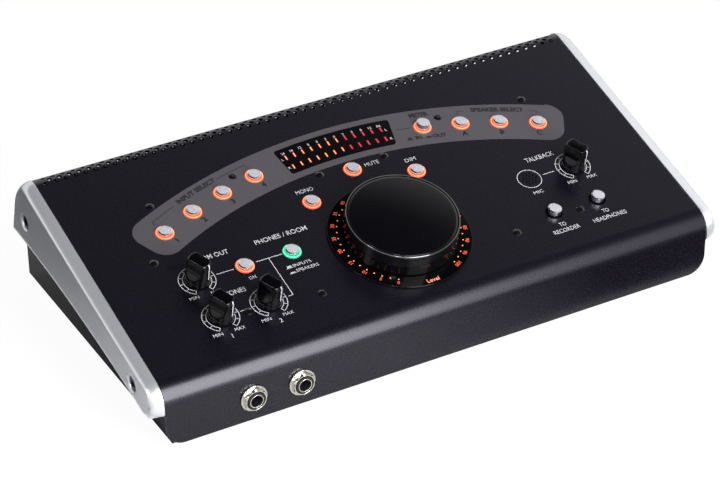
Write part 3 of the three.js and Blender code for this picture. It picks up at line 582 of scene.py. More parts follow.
vent_holes = [
    ((i - (VENTS - 1) / 2 + (row % 2) / 2) * VENT_PITCH, REAR_BEND_START + row * VENT_ROW_STEP)
    for row in range(VENT_ROWS) for i in range(VENTS - row % 2)]
mic_steps = range(-MIC_RINGS, MIC_RINGS + 1)
mic_holes = [
    (MIC_PLACE[0] + MIC_PITCH * (column + row / 2), MIC_PLACE[1] + MIC_PITCH * row * math.sin(math.pi / 3))
    for row in mic_steps for column in mic_steps if abs(row + column) <= MIC_RINGS]
jack_row = front_bend_end - (front_length - JACK_HEIGHT)
jack_columns = [sum(np.array(corner)[0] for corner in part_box(f"phones_jack_{i}")) / 2 / MM for i in (1, 2)]
# Each round hole: its place in the flat, its radius and its number of sides.
round_holes = [
    *((x, s, VENT_RADIUS, 12) for x, s in vent_holes),
    *((*button_places[name], RING_HOLE, 48) for name in LATCHING),
    *((*button_places[name], TALK_HOLE, 48) for name in TALK),
    *((*place, SHAFT_HOLE, 24) for place in knob_places.values()),
    *((*place, MIC_HOLE, 10) for place in mic_holes),
    *((x, jack_row, JACK_HOLE, 32) for x in jack_columns),
    (*dial_place, DIAL_HOLE, 96),
]
side_turn = np.linspace(0, math.pi / 2, CORNER_STEPS + 1)
corner_x = half_width - CORNER + CORNER * np.sin(side_turn)
corner_s = sheet_front + CORNER - CORNER * np.cos(side_turn)
sheet_outline = np.concatenate([
    stacked(corner_x, corner_s), [(half_width, sheet_rear), (-half_width, sheet_rear)],
    stacked(-corner_x[::-1], corner_s[::-1])])
fold_rows = np.concatenate([
    np.linspace(flat_start, front_bend_end, BEND_STEPS + 1), [flat_start + SUPPORT, front_bend_end - SUPPORT],
    np.linspace(REAR_BEND_START, rear_bend_end, BEND_STEPS + 1), [REAR_BEND_START - SUPPORT]])
fold_lines = [((-half_width, s), (half_width, s)) for s in fold_rows]
meter_hole = meter_outline(GAP)
flat_points, flat_faces = meshed(
    [sheet_outline, meter_hole, *(circle(*hole) for hole in round_holes)], fold_lines)
middles = flat_points[flat_faces].mean(1)
open_there = within(meter_hole, middles)
for x, s, radius, sides in round_holes:
    reach = radius * math.cos(math.pi / sides)
    open_there |= (middles[:, 0] - x) ** 2 + (middles[:, 1] - s) ** 2 < reach ** 2
sheet_faces = flat_faces[~open_there]


def thickened(points, below, faces):
    """A sheet as a closed body: its outer points and faces, the same below it the other way round, and a
    strip of quads along every edge that only one face has."""
    faces = np.asarray(faces)
    count = len(points)
    sides = np.concatenate([faces[:, [i, (i + 1) % faces.shape[1]]] for i in range(faces.shape[1])])
    key = np.sort(sides, 1) @ np.array([count, 1])
    first, times = np.unique(key, return_index=True, return_counts=True)[1:]
    rim = sides[first[times == 1]]
    strips = np.stack([rim[:, 1], rim[:, 0], rim[:, 0] + count, rim[:, 1] + count], 1)
    all_faces = [*faces.tolist(), *(faces[:, ::-1] + count).tolist(), *strips.tolist()]
    return np.concatenate([points, below]), all_faces


sheet = thickened(folded(*flat_points.T), folded(*flat_points.T, -SHEET), sheet_faces)
steel_cover = new_piece("folded_steel_cover", [sheet], black_powder_coat, sharp=20)
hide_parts("top_cover")


# The two cheeks: castings painted satin silver. The inner outline follows the cover's bends, the toe and the
# arched underside, and the outer one lies lower and rounder. The section between them runs from a flat flange
# over a ridge to a flat outer face, with a fine bead on its lower edge that carries a painted highlight.
PROUD = 0.4
CHEEK = 6.7
EDGE_DROP = 3.2
REAR_TAPER = 0.5
CHEEK_REAR_RADIUS = 17.0
TOE_HEIGHT = 17.6
TOE_RADII = (3.2, 7.0)
HEEL_HEIGHT = 37.4
BELLY = (92.0, 35.2)
LIP = 0.8
BEAD = 0.5
BEAD_SINK = 0.25
BEAD_SIDES = 10
CHEEK_RECESS = 4.2
RECESS_CHAMFER = 0.9
RECESS_DEPTH = 3.3
RECESS_SIDES = 40
SHANK_HOLE = 2.1
CHEEK_ARC_STEPS = 24
CHEEK_TOP_STEPS = 32
SECTION_STEPS = 16
SOFT_POWER, TIGHT_POWER, LIP_POWER = 2.3, 3.0, 9.0
SOFT_SLOPE, TIGHT_SLOPE = 0.12, 0.5
SOFT_REACH = 2.5
FACE_MARGIN = 0.5
SLIVER = 1e-4


def arc(centre, radius, start, end, steps):
    """Points on a circle between two angles, counter-clockwise from the first axis."""
    angle = np.linspace(start, end, steps + 1)
    return stacked(centre[0] + radius * np.cos(angle), centre[1] + radius * np.sin(angle))


def panel_side(v, w):
    """The depth and height, from the casing's lower front edge, of a place up the panel and above it."""
    return np.array([v * math.cos(TILT) - w * math.sin(TILT),
                     EDGE_HEIGHT + v * math.sin(TILT) + w * math.cos(TILT)])


def cheek_outline(drop, taper, rear_radius, toe_radius, lip):
    """The cheek's side view, counter-clockwise seen from the right: its toe, front bend, top, rear bend, heel
    and the belly, a quadratic Bezier curve that lies up to lip higher."""
    normal = math.pi / 2 + TILT
    front_radius = FRONT_BEND + PROUD - drop
    front = arc((FRONT_BEND, EDGE_HEIGHT - flat_start), front_radius, math.pi, normal, CHEEK_ARC_STEPS)
    rear_centre = panel_side(
        REAR_BEND_START + REAR_BEND + PROUD - taper - rear_radius, PROUD - drop - rear_radius)
    rear = arc(rear_centre, rear_radius, normal, TILT, CHEEK_ARC_STEPS)
    heel = np.array([rear[-1][0] + (rear[-1][1] - HEEL_HEIGHT) * math.tan(TILT), HEEL_HEIGHT + lip])
    toe_centre = (FRONT_BEND - front_radius + toe_radius, TOE_HEIGHT + toe_radius)
    toe = arc(toe_centre, toe_radius, 1.5 * math.pi, math.pi, CHEEK_ARC_STEPS)
    t = np.linspace(0, 1, CHEEK_ARC_STEPS + 1)[:-1, None]
    belly = (1 - t) ** 2 * heel + 2 * t * (1 - t) * (np.array(BELLY) + (0, lip)) + t ** 2 * toe[0]
    top = front[-1] + np.linspace(0, 1, CHEEK_TOP_STEPS + 1)[1:-1, None] * (rear[0] - front[-1])
    return np.concatenate([toe, front, top, rear, belly])


def filled(loops):
    """Triangles that fill the first loop and leave the later ones open, numbered as the loops' own points."""
    corners, faces = meshed(loops)
    places = np.concatenate(loops)
    nearest = np.array([np.argmin(np.sum((places - corner) ** 2, 1)) for corner in corners])
    middles = corners[faces].mean(1)
    a, b, c = corners[faces].transpose(1, 0, 2)
    ab, ac = b - a, c - a
    areas = abs(ab[:, 0] * ac[:, 1] - ab[:, 1] * ac[:, 0]) / 2
    kept = within(loops[0], middles) & (areas > SLIVER)
    for loop in loops[1:]:
        kept &= ~within(loop, middles)
    return places, nearest[faces[kept]].tolist()


def silver_paint(tree):
    """Satin silver lacquer: pale, half metallic, with the fine sparkle of its flakes."""
    flakes = object_noise(tree, 0.5)
    colour = add(tree, "ShaderNodeMix", {
        0: flakes.outputs["Fac"], 6: linear("#d6d8de"), 7: linear("#ecedf2")}, data_type="RGBA")
    bump = add(tree, "ShaderNodeBump", {
        "Height": flakes.outputs["Fac"], "Strength": 0.15, "Distance": 0.03 * MM})
    return add(tree, "ShaderNodeBsdfPrincipled", {
        "Base Color": colour.outputs[2], "Metallic": 0.6, "Roughness": 0.3,
        "Normal": bump.outputs["Normal"]})


silver_lacquer = finished_material("satin_silver_lacquer", silver_paint)
inner_outline = cheek_outline(0, 0, REAR_BEND + PROUD, TOE_RADII[0], 0)
outer_outline = cheek_outline(EDGE_DROP, REAR_TAPER, CHEEK_REAR_RADIUS, TOE_RADII[1], LIP)
bend_points = np.ones(CHEEK_ARC_STEPS + 1)
top_share = np.linspace(-1, 1, CHEEK_TOP_STEPS + 1)[1:-1]
softness = np.concatenate([
    np.linspace(-1, 1, CHEEK_ARC_STEPS + 1).clip(0), bend_points, abs(top_share) ** SOFT_REACH, bend_points,
    np.zeros(CHEEK_ARC_STEPS)])
on_belly = np.concatenate([
    np.linspace(1, -1, CHEEK_ARC_STEPS + 1).clip(0), np.zeros(2 * len(bend_points) + len(top_share)),
    np.ones(CHEEK_ARC_STEPS)])


def cheek_rings():
    """Rings of the outline from the inner face to the outer one. At the section's turn t a point stands at
    the depth d = sin(t)^(2/p) and is moved from the inner towards the outer outline by the share
    a d + (1 - a) (1 - cos(t)^(2/p)), where p is low for a soft edge and a is the flange's slope."""
    power = TIGHT_POWER + (SOFT_POWER - TIGHT_POWER) * softness + (LIP_POWER - TIGHT_POWER) * on_belly
    slope = (TIGHT_SLOPE + (SOFT_SLOPE - TIGHT_SLOPE) * softness) * (1 - on_belly)
    rings = []
    for turn in np.linspace(0, math.pi / 2, SECTION_STEPS + 1):
        depth = np.sin(turn) ** (2 / power)
        share = slope * depth + (1 - slope) * (1 - abs(np.cos(turn)) ** (2 / power))
        side_view = inner_outline + share[:, None] * (outer_outline - inner_outline)
        rings.append(stacked(CHEEK * depth, *side_view.T))
    along = np.roll(side_view, -1, 0) - np.roll(side_view, 1, 0)
    along /= np.linalg.norm(along, axis=1)[:, None]
    margin = side_view + FACE_MARGIN * stacked(along[:, 1], -along[:, 0])
    return [*rings, stacked(CHEEK, *margin.T)]


screw_places = {}
for end in ("front", "rear"):
    low, high = (np.array(corner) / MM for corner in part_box(f"cheek_screw_left_{end}"))
    screw_places[end] = (low + high)[1:] / 2 - casing_origin[1:]


def tube(path, radius, sides):
    """A round rod along a path: rings of its radius round each station, square to the path, and two ends."""
    along = np.gradient(path, axis=0)
    along /= np.linalg.norm(along, axis=1)[:, None]
    side = np.cross(along, (1.0, 0.0, 0.0))
    up = np.cross(side, along)
    turn = np.arange(sides) * 2 * math.pi / sides
    rings = path[:, None] + radius * (
        np.cos(turn)[None, :, None] * side[:, None] + np.sin(turn)[None, :, None] * up[:, None])
    last = len(path) * sides
    ends = [list(range(sides)), list(range(last - 1, last - sides - 1, -1))]
    return rings, grid_faces(len(path), sides, closed=True) + ends


def cheek_parts():
    """The cheek with its inner face on x = 0: its rings, an outer and an inner face round the two screw
    holes, and each hole's wall, seat and shank hole."""
    rings = cheek_rings()
    parts = [(np.array(rings), grid_faces(len(rings), len(inner_outline), closed=True))]
    holes = {0.0: [], CHEEK: []}
    for y, z in screw_places.values():
        wall = eased([
            (CHEEK_RECESS + RECESS_CHAMFER, CHEEK), (CHEEK_RECESS + 0.1, CHEEK - 0.75 * RECESS_CHAMFER, 0.2),
            (CHEEK_RECESS, CHEEK - 1.2 * RECESS_CHAMFER, 0.1), (CHEEK_RECESS, CHEEK - RECESS_DEPTH, 0.3),
            (SHANK_HOLE, CHEEK - RECESS_DEPTH, 0.1), (SHANK_HOLE, 0)])
        points, faces = turned(wall, RECESS_SIDES)
        parts.append((stacked(points[..., 2], y + points[..., 0], z + points[..., 1]), faces))
        holes[CHEEK].append(points[0, :, :2] + (y, z))
        holes[0.0].append(points[-1, :, :2] + (y, z))
    for x, loops in holes.items():
        ring = rings[0] if x == 0 else rings[-1]
        places, faces = filled([ring[:, 1:], *loops])
        parts.append((stacked(x, *places.T), faces))
    return parts


# The bead on the casting's lower edge is painted near white and almost matt: a painted highlight.
highlight_lip_paint = finished_material("painted_highlight_lip", uneven_gloss("#fbfbfd", 0.4, 0.6, size=1.5, Metallic=0.1))
belly_edge = np.concatenate([outer_outline[-CHEEK_ARC_STEPS:], outer_outline[:CHEEK_ARC_STEPS // 2]])
lip_points, lip_faces = tube(stacked(CHEEK - BEAD_SINK, *belly_edge.T), BEAD, BEAD_SIDES)


def on_side(side, start, points):
    """Points whose x runs outwards from a start, on the left (-1) or the right (1) of the casing."""
    return stacked(side * (start + points[..., 0]), points[..., 1], points[..., 2]) + casing_origin


for side_name, side in (("left", -1), ("right", 1)):
    inner_x = min(abs(corner[0]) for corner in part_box(f"cheek_{side_name}")) / MM
    parts = [(on_side(side, inner_x, points), faces) for points, faces in cheek_parts()]
    cheek = new_piece(f"cast_cheek_{side_name}", parts, silver_lacquer, sharp=28)
    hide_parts(f"cheek_{side_name}")
    lip = (on_side(side, inner_x, lip_points), lip_faces)
    new_piece(f"cheek_lip_{side_name}", [lip], highlight_lip_paint)


# The cheek screws stand deep in the recesses of the cheeks. Each has a blackened steel button head with a
# hexagon socket, on a plain shank.
SCREW_HEAD = 3.5
SCREW_HEAD_HEIGHT = 2.4
SCREW_SHANK = 1.8
SCREW_SIDES = 48
SOCKET_FLATS = 1.5
SOCKET_DEPTH = 1.5

# Black oxide on steel: dark, oily and fairly glossy.
dark_steel = finished_material(
    "blackened_steel", uneven_gloss("#3a3a3e", 0.25, 0.42, size=1.5, Metallic=0.9))


def hexagon_radius(flat, angle):
    """The radius of a hexagon at an angle: the distance of its flats divided by the cosine of the angle from
    the middle of the nearest flat."""
    return flat / np.cos((angle + math.pi / 6) % (math.pi / 3) - math.pi / 6)


def socket_screw(reach):
    """A button head with a hexagon socket on a plain shank: a lathe whose inner rings are hexagons. The
    underside of the head is at height 0 and the shank runs down to reach."""
    angle = np.arange(SCREW_SIDES) * 2 * math.pi / SCREW_SIDES
    hexagon = hexagon_radius(SOCKET_FLATS, angle)
    top = SCREW_HEAD_HEIGHT
    outside = eased([
        (0, reach), (SCREW_SHANK, reach, 0.2), (SCREW_SHANK, 0), (SCREW_HEAD, 0, 0.2),
        (SCREW_HEAD, top * 0.35, 0.5), (SCREW_HEAD * 0.72, top, 0.7), (SCREW_HEAD * 0.5, top)])
    rings = [(radius + 0 * angle, rise) for radius, rise in outside]
    rings += [(hexagon + 0.12, top), (hexagon, top - 0.15), (hexagon, top - SOCKET_DEPTH),
              (0 * hexagon, top - SOCKET_DEPTH - 0.2)]
    points = [stacked(radius * np.cos(angle), radius * np.sin(angle), rise) for radius, rise in rings]
    return np.array(points), grid_faces(len(rings), len(angle), closed=True)


for side_name, side in (("left", -1), ("right", 1)):
    for end, (y, z) in screw_places.items():
        node = f"cheek_screw_{side_name}_{end}"
        reach_x = [abs(corner[0]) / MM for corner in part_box(node)]
        seat_x = max(reach_x) - SCREW_HEAD_HEIGHT
        points, faces = socket_screw(min(reach_x) - seat_x)
        outwards = stacked(points[..., 2], y + points[..., 0], z + points[..., 1])
        screw = new_piece(f"socket_screw_{side_name}_{end}", [(on_side(side, seat_x, outwards), faces)],
                          dark_steel)
        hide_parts(node)


# The printed band, lines and legends: screen-printed ink, a few hundredths of a millimetre thick. Each mark
# is a thin closed slab with its underside just inside the paint.
INK_SINK = 0.02
INK_RISE = 0.045
BAND_RISE = 0.03
BAND_INNER = 247.2
BAND_OUTER = 274.8
BAND_HALF_ANGLE = math.radians(28.2)
BAND_CORNER = 9.5
BAND_FALL = 1.5
BAND_FALL_MIDDLE = math.radians(4)
BAND_FALL_REACH = math.radians(29)
BAND_STEPS = 79
BAND_CORNER_STEPS = 12
FINE_LINE = 0.38


def slab(places, faces, low, high):
    """A flat mesh made a closed slab between two heights over the panel."""
    return thickened(on_panel(*places.T, high), on_panel(*places.T, low), faces)


def rod_faces(stations):
    """The faces of a rod with four corners at each station, closed at both ends."""
    last = 4 * stations
    return grid_faces(stations, 4, closed=True) + [[0, 1, 2, 3], [last - 1, last - 2, last - 3, last - 4]]


def ribbon(path, width, low, high, closed=False):
    """A flat line along a path on the panel, square in section: each station has four corners, half a width
    to either side along the path's normal and at the two heights, and the ends of an open line are capped."""
    path = np.asarray(path, float)
    along = np.gradient(path, axis=0)
    if closed:
        along = np.roll(path, -1, 0) - np.roll(path, 1, 0)
    along /= np.linalg.norm(along, axis=1)[:, None]
    offset = stacked(-along[:, 1], along[:, 0]) * width / 2
    corners = [(path + offset, low), (path + offset, high), (path - offset, high), (path - offset, low)]
    points = np.stack([on_panel(*place.T, rise) for place, rise in corners], 1)
    if closed:
        points = np.concatenate([points, points[:1]])
        return points, grid_faces(len(points), 4, closed=True)
    return points, rod_faces(len(points))


def screen_ink(colour, roughness=0.55, glow=0.0):
    """Printed ink: flat, opaque and slightly matt, with a faint unevenness in its coat."""
    def shader(tree):
        coat = object_noise(tree, 1.2)
        darker = add(tree, "ShaderNodeHueSaturation", {"Color": linear(colour), "Value": 0.93})
        mixed = add(tree, "ShaderNodeMix", {
            0: coat.outputs["Fac"], 6: darker.outputs["Color"], 7: linear(colour)}, data_type="RGBA")
        return add(tree, "ShaderNodeBsdfPrincipled", {
            "Base Color": mixed.outputs[2], "Roughness": roughness, "Emission Color": linear(colour),
            "Emission Strength": glow})
    return shader


white_ink = finished_material("white_screen_ink", screen_ink("#d2d2d6"))
grey_ink = finished_material("grey_screen_ink", screen_ink("#504e54", 0.5))
dark_ink = finished_material("dark_screen_ink", screen_ink("#0d0c11"))


def rounded_band():
    """The grey band's outline: two arcs about the band's centre joined by ends with rounded corners. The
    outer arc falls short of its circle by f (1 - ((a - m) / r)^2) at the angle a."""
    outer_turn = BAND_HALF_ANGLE - BAND_CORNER / (BAND_OUTER - BAND_CORNER)
    inner_turn = BAND_HALF_ANGLE - BAND_CORNER / (BAND_INNER + BAND_CORNER)
    sweep = np.linspace(-outer_turn, outer_turn, BAND_STEPS + 1)
    fall = BAND_FALL * (1 - ((sweep - BAND_FALL_MIDDLE) / BAND_FALL_REACH) ** 2)
    outer_arc = along_band(BAND_OUTER - fall, sweep)
    inner_arc = along_band(BAND_INNER, np.linspace(inner_turn, -inner_turn, BAND_STEPS + 1))
    quarter = np.linspace(0, 1, BAND_CORNER_STEPS + 1)
    right = []
    for radius, turn, start in (
            (BAND_OUTER - BAND_CORNER, outer_turn, 0), (BAND_INNER + BAND_CORNER, inner_turn, 1)):
        centre = along_band(radius, turn)
        sweep = turn + (start + quarter) * math.pi / 2
        right.append(centre + BAND_CORNER * stacked(np.sin(sweep), np.cos(sweep)))
    left = [corner[::-1] * (-1, 1) for corner in right[::-1]]
    return np.concatenate([outer_arc, *right, inner_arc, *left])


band_buttons = [button_places[name] for name in LATCHING[:8]]
band_loops = [rounded_band(), meter_outline(GAP), *(circle(*place, RING_HOLE, 48) for place in band_buttons)]
band_print = slab(*filled(band_loops), -INK_SINK, BAND_RISE)
new_piece("grey_band_print", [band_print], grey_ink)


# The legends are set in a plain sans serif, scaled to the letter height and width of each mark. The white
# ones stand straight on the panel, and the dark ones are bent along the band and printed bolder.
LEGEND_HEIGHT = 2.6
SMALL_HEIGHT = 2.0
PANEL_BOLD = 0.004
BAND_BOLD = 0.05


def letter_faces(text, bold=0.0):
    """A line of text as an extruded mesh in Blender's own font: its points and its faces."""
    curve = bpy.data.curves.new("letters", "FONT")
    curve.body = text
    curve.extrude = 0.5
    curve.offset = bold
    curve.resolution_u = 3
    shape = bpy.data.objects.new("letters", curve)
    scene.collection.objects.link(shape)
    mesh = shape.to_mesh()
    points = np.empty(3 * len(mesh.vertices))
    mesh.vertices.foreach_get("co", points)
    points = points.reshape(-1, 3)
    faces = [list(face.vertices) for face in mesh.polygons]
    shape.to_mesh_clear()
    bpy.data.objects.remove(shape)
    bpy.data.curves.remove(curve)
    return points, faces


CAPITAL = letter_faces("H")[0][:, 1].max()


def letters(text, height, width=None, bold=0.0):
    """A line of text centred on its middle, scaled to a capital height and, where given, a total width."""
    points, faces = letter_faces(text, bold)
    scale = height / CAPITAL
    low, high = points[:, 0].min(), points[:, 0].max()
    stretch = width / (high - low) if width else scale
    return np.stack([(points[:, 0] - (low + high) / 2) * stretch, points[:, 1] * scale,
                     np.where(points[:, 2] > 0, INK_RISE, -INK_SINK)], 1), faces


def straight_legend(text, u, v, height=LEGEND_HEIGHT, width=None, bold=0.0, lift=0.0):
    """Letters whose baseline's middle is at a place on the panel."""
    points, faces = letters(text, height, width, bold)
    return on_panel(u + points[:, 0], v + points[:, 1], points[:, 2] + lift), faces


def band_legend(text, radius, degrees, height=LEGEND_HEIGHT, width=None, bold=0.0, lift=0.0):
    """Letters bent along the band: x becomes an angle of x / R past the middle, and y adds to the radius."""
    points, faces = letters(text, height, width, bold)
    places = along_band(radius + points[:, 1], math.radians(degrees) + points[:, 0] / radius)
    return on_panel(*places.T, points[:, 2] + lift), faces


white_marks = [
    straight_legend("PHONES / ROOM", -56.8, 71.5, 2.9, 29.4, PANEL_BOLD),
    straight_legend("ROOM OUT", -96.4, 71.6, 2.9, 19.8, PANEL_BOLD),
    straight_legend("PHONES", -96.6, 45.3, 2.9, 13.4, PANEL_BOLD),
    straight_legend("TALKBACK", 97.3, 71.6, 2.9, 17.2, PANEL_BOLD),
    straight_legend("TO", 83.1, 24.2, 2.6, 3.9),
    straight_legend("RECORDER", 83.2, 20.2, 2.6, 15.5),
    straight_legend("TO", 109.6, 24.5, 2.6, 3.9),
    straight_legend("HEADPHONES", 109.5, 20.0, 2.6, 20.0),
    straight_legend("MONO", -30.8, 95.4, 2.5, 9.9),
    straight_legend("MUTE", 11.5, 100.4, 2.5, 8.3),
    straight_legend("DIM", 31.9, 95.4, 2.5, 6.1),
    straight_legend("ON", -83.2, 51.2, SMALL_HEIGHT, 3.8),
    straight_legend("INPUTS", -55.6, 50.6, SMALL_HEIGHT, 10.0),
    straight_legend("SPEAKERS", -54.4, 47.0, SMALL_HEIGHT, 12.6),
    straight_legend("MIC", 83.4, 49.6, SMALL_HEIGHT, 5.7),
    straight_legend("1", -109.8, 19.7, 2.6),
    straight_legend("2", -83.1, 19.9, 2.6),
]
new_piece("white_legends", white_marks, white_ink)

dark_marks = [
    band_legend("INPUT SELECT", 268.7, -17.9, 2.8, 26.3, BAND_BOLD),
    band_legend("SPEAKER SELECT", 268.5, 20.5, 2.8, 29.1, BAND_BOLD),
    band_legend("METER", 268.5, 11.25, 2.7, 10.8, BAND_BOLD),
    band_legend("IN", 252, 10.1, 2.4, bold=BAND_BOLD),
    band_legend("OUT", 251.6, 12.7, 2.4, bold=BAND_BOLD),
]
band_numbers = (("1", -25), ("2", -20.3), ("3", -15.7), ("4", -11), ("A", 15.9), ("B", 20.5), ("C", 25.1))
dark_marks += [band_legend(text, 251.2, degrees, 3.0, bold=BAND_BOLD) for text, degrees in band_numbers]
band_lines = [
    (269.6, -24.9, -21.3, -24.9), (269.6, -14.9, -11.0, -11.0), (269.4, 15.8, 16.6, 15.8),
    (269.4, 24.2, 25.1, 25.1)]
dark_marks.append(ribbon(along_band(261, np.radians([7.9, 8.8, 9.65])), FINE_LINE, -INK_SINK, INK_RISE))
ICON_WIDTH = 2.3
ICON_FOOT = 3.6
for degrees, thickness in ((8.95, 1.5), (11.35, 0.8)):
    half_block, half_foot = (math.degrees(width / 2 / 252) for width in (ICON_WIDTH, ICON_FOOT))
    icon = ((half_block, 252.3 + thickness / 2, thickness), (half_foot, 252.2, 0.45))
    for half_turn, radius, width in icon:
        sweep = np.radians([degrees - half_turn, degrees, degrees + half_turn])
        dark_marks.append(ribbon(along_band(radius, sweep), width, -INK_SINK, INK_RISE))
for radius, start, end, tick in band_lines:
    sweep = np.radians(np.linspace(start, end, 16))
    dark_marks.append(ribbon(along_band(radius, sweep), FINE_LINE, -INK_SINK, INK_RISE))
    tick_path = along_band(np.linspace(radius, radius - 2, 3), math.radians(tick))
    dark_marks.append(ribbon(tick_path, FINE_LINE, -INK_SINK, INK_RISE))
new_piece("dark_legends", dark_marks, dark_ink)


# White linking lines, the closed scale arcs round the small knobs and the ring round the microphone holes.
# Each is a closed slab of the same ink as the white legends.
SCALE_INNER = 7.3
SCALE_OUTER = 9.4
SCALE_END = math.radians(151)
SCALE_TICK = 0.3


def round_path(place, radius, start, end, steps):
    """Places round a centre between two clockwise angles from straight up."""
    angle = np.linspace(start, end, steps + 1)
    return stacked(place[0] + radius * np.sin(angle), place[1] + radius * np.cos(angle))


def white_line(path, closed=False, width=FINE_LINE):
    """A line of white ink on the panel."""
    return ribbon(path, width, -INK_SINK, INK_RISE, closed)


line_marks = [
    white_line([(-99.1, 60.7), (-89.4, 60.7)]),
    white_line([(-76.9, 61), (-62.1, 61)]),
    white_line([(-69.75, 61), (-69.75, 34.2)]),
    white_line([(-69.6, 34.2), (-72.4, 34.1)]),
    white_line([(-99.2, 34), (-93.5, 34)]),
    white_line([(92.2, 60.8), (99.3, 60.8)]),
    white_line(round_path(MIC_PLACE, 6.5, 0, 2 * math.pi, 48)[:-1], closed=True),
]
for v, thickness in ((50.8, 1.5), (47.1, 0.8)):
    line_marks.append(white_line([(-62.9 - ICON_WIDTH / 2, v + thickness / 2),
                                  (-62.9 + ICON_WIDTH / 2, v + thickness / 2)], width=thickness))
    line_marks.append(white_line([(-62.9 - ICON_FOOT / 2, v), (-62.9 + ICON_FOOT / 2, v)]))
for name, place in knob_places.items():
    outer_arc = round_path(place, SCALE_OUTER, -SCALE_END, SCALE_END, 60)
    inner_arc = round_path(place, SCALE_INNER, SCALE_END, -SCALE_END, 60)
    line_marks.append(white_line(np.concatenate([outer_arc, inner_arc]), closed=True))
    for degrees in range(-120, 121, 30):
        turn = math.radians(degrees)
        tick = np.array(place) + np.outer([SCALE_INNER, SCALE_OUTER], [math.sin(turn), math.cos(turn)])
        line_marks.append(white_line(tick, width=SCALE_TICK))
    line_marks.append(straight_legend("MIN", place[0] - 6.5, place[1] - 11.3, SMALL_HEIGHT, 5.2))
    line_marks.append(straight_legend("MAX", place[0] + 5.5, place[1] - 11.3, SMALL_HEIGHT, 5.7))
new_piece("white_lines", line_marks, white_ink)


# Eleven small black-plated screws hold the panel's boards. Each has a low domed head with a cross recess,
# turned a little further than the one before it.
PANEL_SCREWS = [(-109.6, 115.5), (-124.5, 79.1), (-60.5, 119.8), (-17.9, 104.1), (20.4, 104.1), (61.6, 119.4),
                (111.3, 115.0), (97.5, 31.4), (57.8, 29.2), (-95.7, 32.4), (-55.6, 29.5)]
PANEL_SCREW_RADIUS = 2.3
PANEL_SCREW_DOME = 0.6
CROSS_REACH = 1.25
CROSS_HALF_WIDTH = 0.33
CROSS_DEPTH = 0.7
SCREW_TURN_STEP = 0.7


def cross_screw(u, v, turn):
    """A domed head on a polar grid: its height falls with the square of the radius, less a cross-shaped hole
    where |x| or |y| is under the blade's half width, and its rim drops into the paint."""
    radius = np.linspace(0, 1, 19)[:, None] * PANEL_SCREW_RADIUS
    angle = np.arange(72) * 2 * math.pi / 72
    x, y = radius * np.cos(angle), radius * np.sin(angle)
    rise = 0.12 + PANEL_SCREW_DOME * (1 - (radius / PANEL_SCREW_RADIUS) ** 2) + 0 * angle
    blade = (np.minimum(abs(x), abs(y)) < CROSS_HALF_WIDTH) & (np.maximum(abs(x), abs(y)) < CROSS_REACH)
    rise = rise - CROSS_DEPTH * blade
    x, y, rise = (np.concatenate([part, part[-1:]]) for part in (x, y, rise))
    rise[-1] = -0.1
    across = u + x * math.cos(turn) - y * math.sin(turn)
    along = v + x * math.sin(turn) + y * math.cos(turn)
    faces = grid_faces(len(x), len(angle), closed=True)
    first = (len(x) - 1) * len(angle)
    return on_panel(across, along, rise), faces + [list(range(first, first + len(angle)))]


# Black-plated steel: glossy, so that the heads shine only at a low angle, on the far side.
black_screw = finished_material("black_plated_screw", uneven_gloss("#070709", 0.15, 0.3, size=0.8, IOR=1.6))
screw_heads = [cross_screw(u, v, SCREW_TURN_STEP * i) for i, (u, v) in enumerate(PANEL_SCREWS)]
new_piece("panel_screws", screw_heads, black_screw)


# Light rings: clear round-topped collars round the latching buttons, which glow orange but for one green one,
# palest on their crown. Each row of collars is one moulding with the strip under the panel, which is cut from
# the CAD node's copy.
RING_INNER = 4.0
RING_OUTER = 4.8
RING_HEIGHT = 0.6
RING_CROWN = 0.45
RING_FADE = 0.55
RING_SIDES = 64
STRIP_TOP = -1.8
GUIDES = {
    "source_light_guide": LATCHING[:4], "monitor_light_guide": LATCHING[4:8],
    "level_light_guide": LATCHING[8:11], "phones_light_guide": LATCHING[11:]}


def lit_plastic(core, edge, level):
    """Clear plastic lit from below: it glows palest on its crown and deepens towards its edges."""
    def shader(tree):
        glow = add(tree, "ShaderNodeAttribute", attribute_name="glow")
        colour = add(tree, "ShaderNodeMix", {
            0: glow.outputs["Fac"], 6: linear(edge), 7: linear(core)}, data_type="RGBA").outputs[2]
        return add(tree, "ShaderNodeBsdfPrincipled", {
            "Base Color": colour, "Roughness": 0.3, "Emission Color": colour, "Emission Strength": level})
    return shader


orange_glow = finished_material("lit_orange_polycarbonate", lit_plastic("#ffa67c", "#e44a1c", 0.9))
green_glow = finished_material("lit_green_polycarbonate", lit_plastic("#6ff0be", "#12a870", 0.85))


def on_place(place, points):
    """A lathe's points stood on the panel at a place."""
    return on_panel(place[0] + points[..., 0], place[1] + points[..., 1], points[..., 2])


def turned_on_panel(place, profile, sides):
    """A lathe profile stood on the panel at a place."""
    points, faces = turned(profile, sides)
    return on_place(place, points), faces


def strip_part(node):
    """The strip of a light guide without its collars: the CAD node's copy cut off flat and closed again."""
    work = bmesh.new()
    work.from_mesh(nodes[node].data)
    bmesh.ops.remove_doubles(work, verts=work.verts, dist=DOUBLED * MM)
    level = on_panel(0, 0, STRIP_TOP - 0.05) * MM
    bmesh.ops.bisect_plane(work, geom=[*work.verts, *work.edges, *work.faces], plane_co=level,
                           plane_no=panel_axes[2], clear_outer=True)
    rim = [edge for edge in work.edges if edge.is_boundary]
    bmesh.ops.triangle_fill(work, edges=rim, use_beauty=True, normal=panel_axes[2])
    work.verts.index_update()
    points = np.array([tuple(vertex.co) for vertex in work.verts]) / MM
    faces = [[vertex.index for vertex in face.verts] for face in work.faces]
    work.free()
    return points, faces


def set_glow(piece, glow):
    """Stores a number for each vertex, from 0 to 1, that the piece's material reads."""
    attribute = piece.data.attributes.new("glow", "FLOAT", "POINT")
    attribute.data.foreach_set("value", np.clip(glow, 0, 1).astype(np.float32))


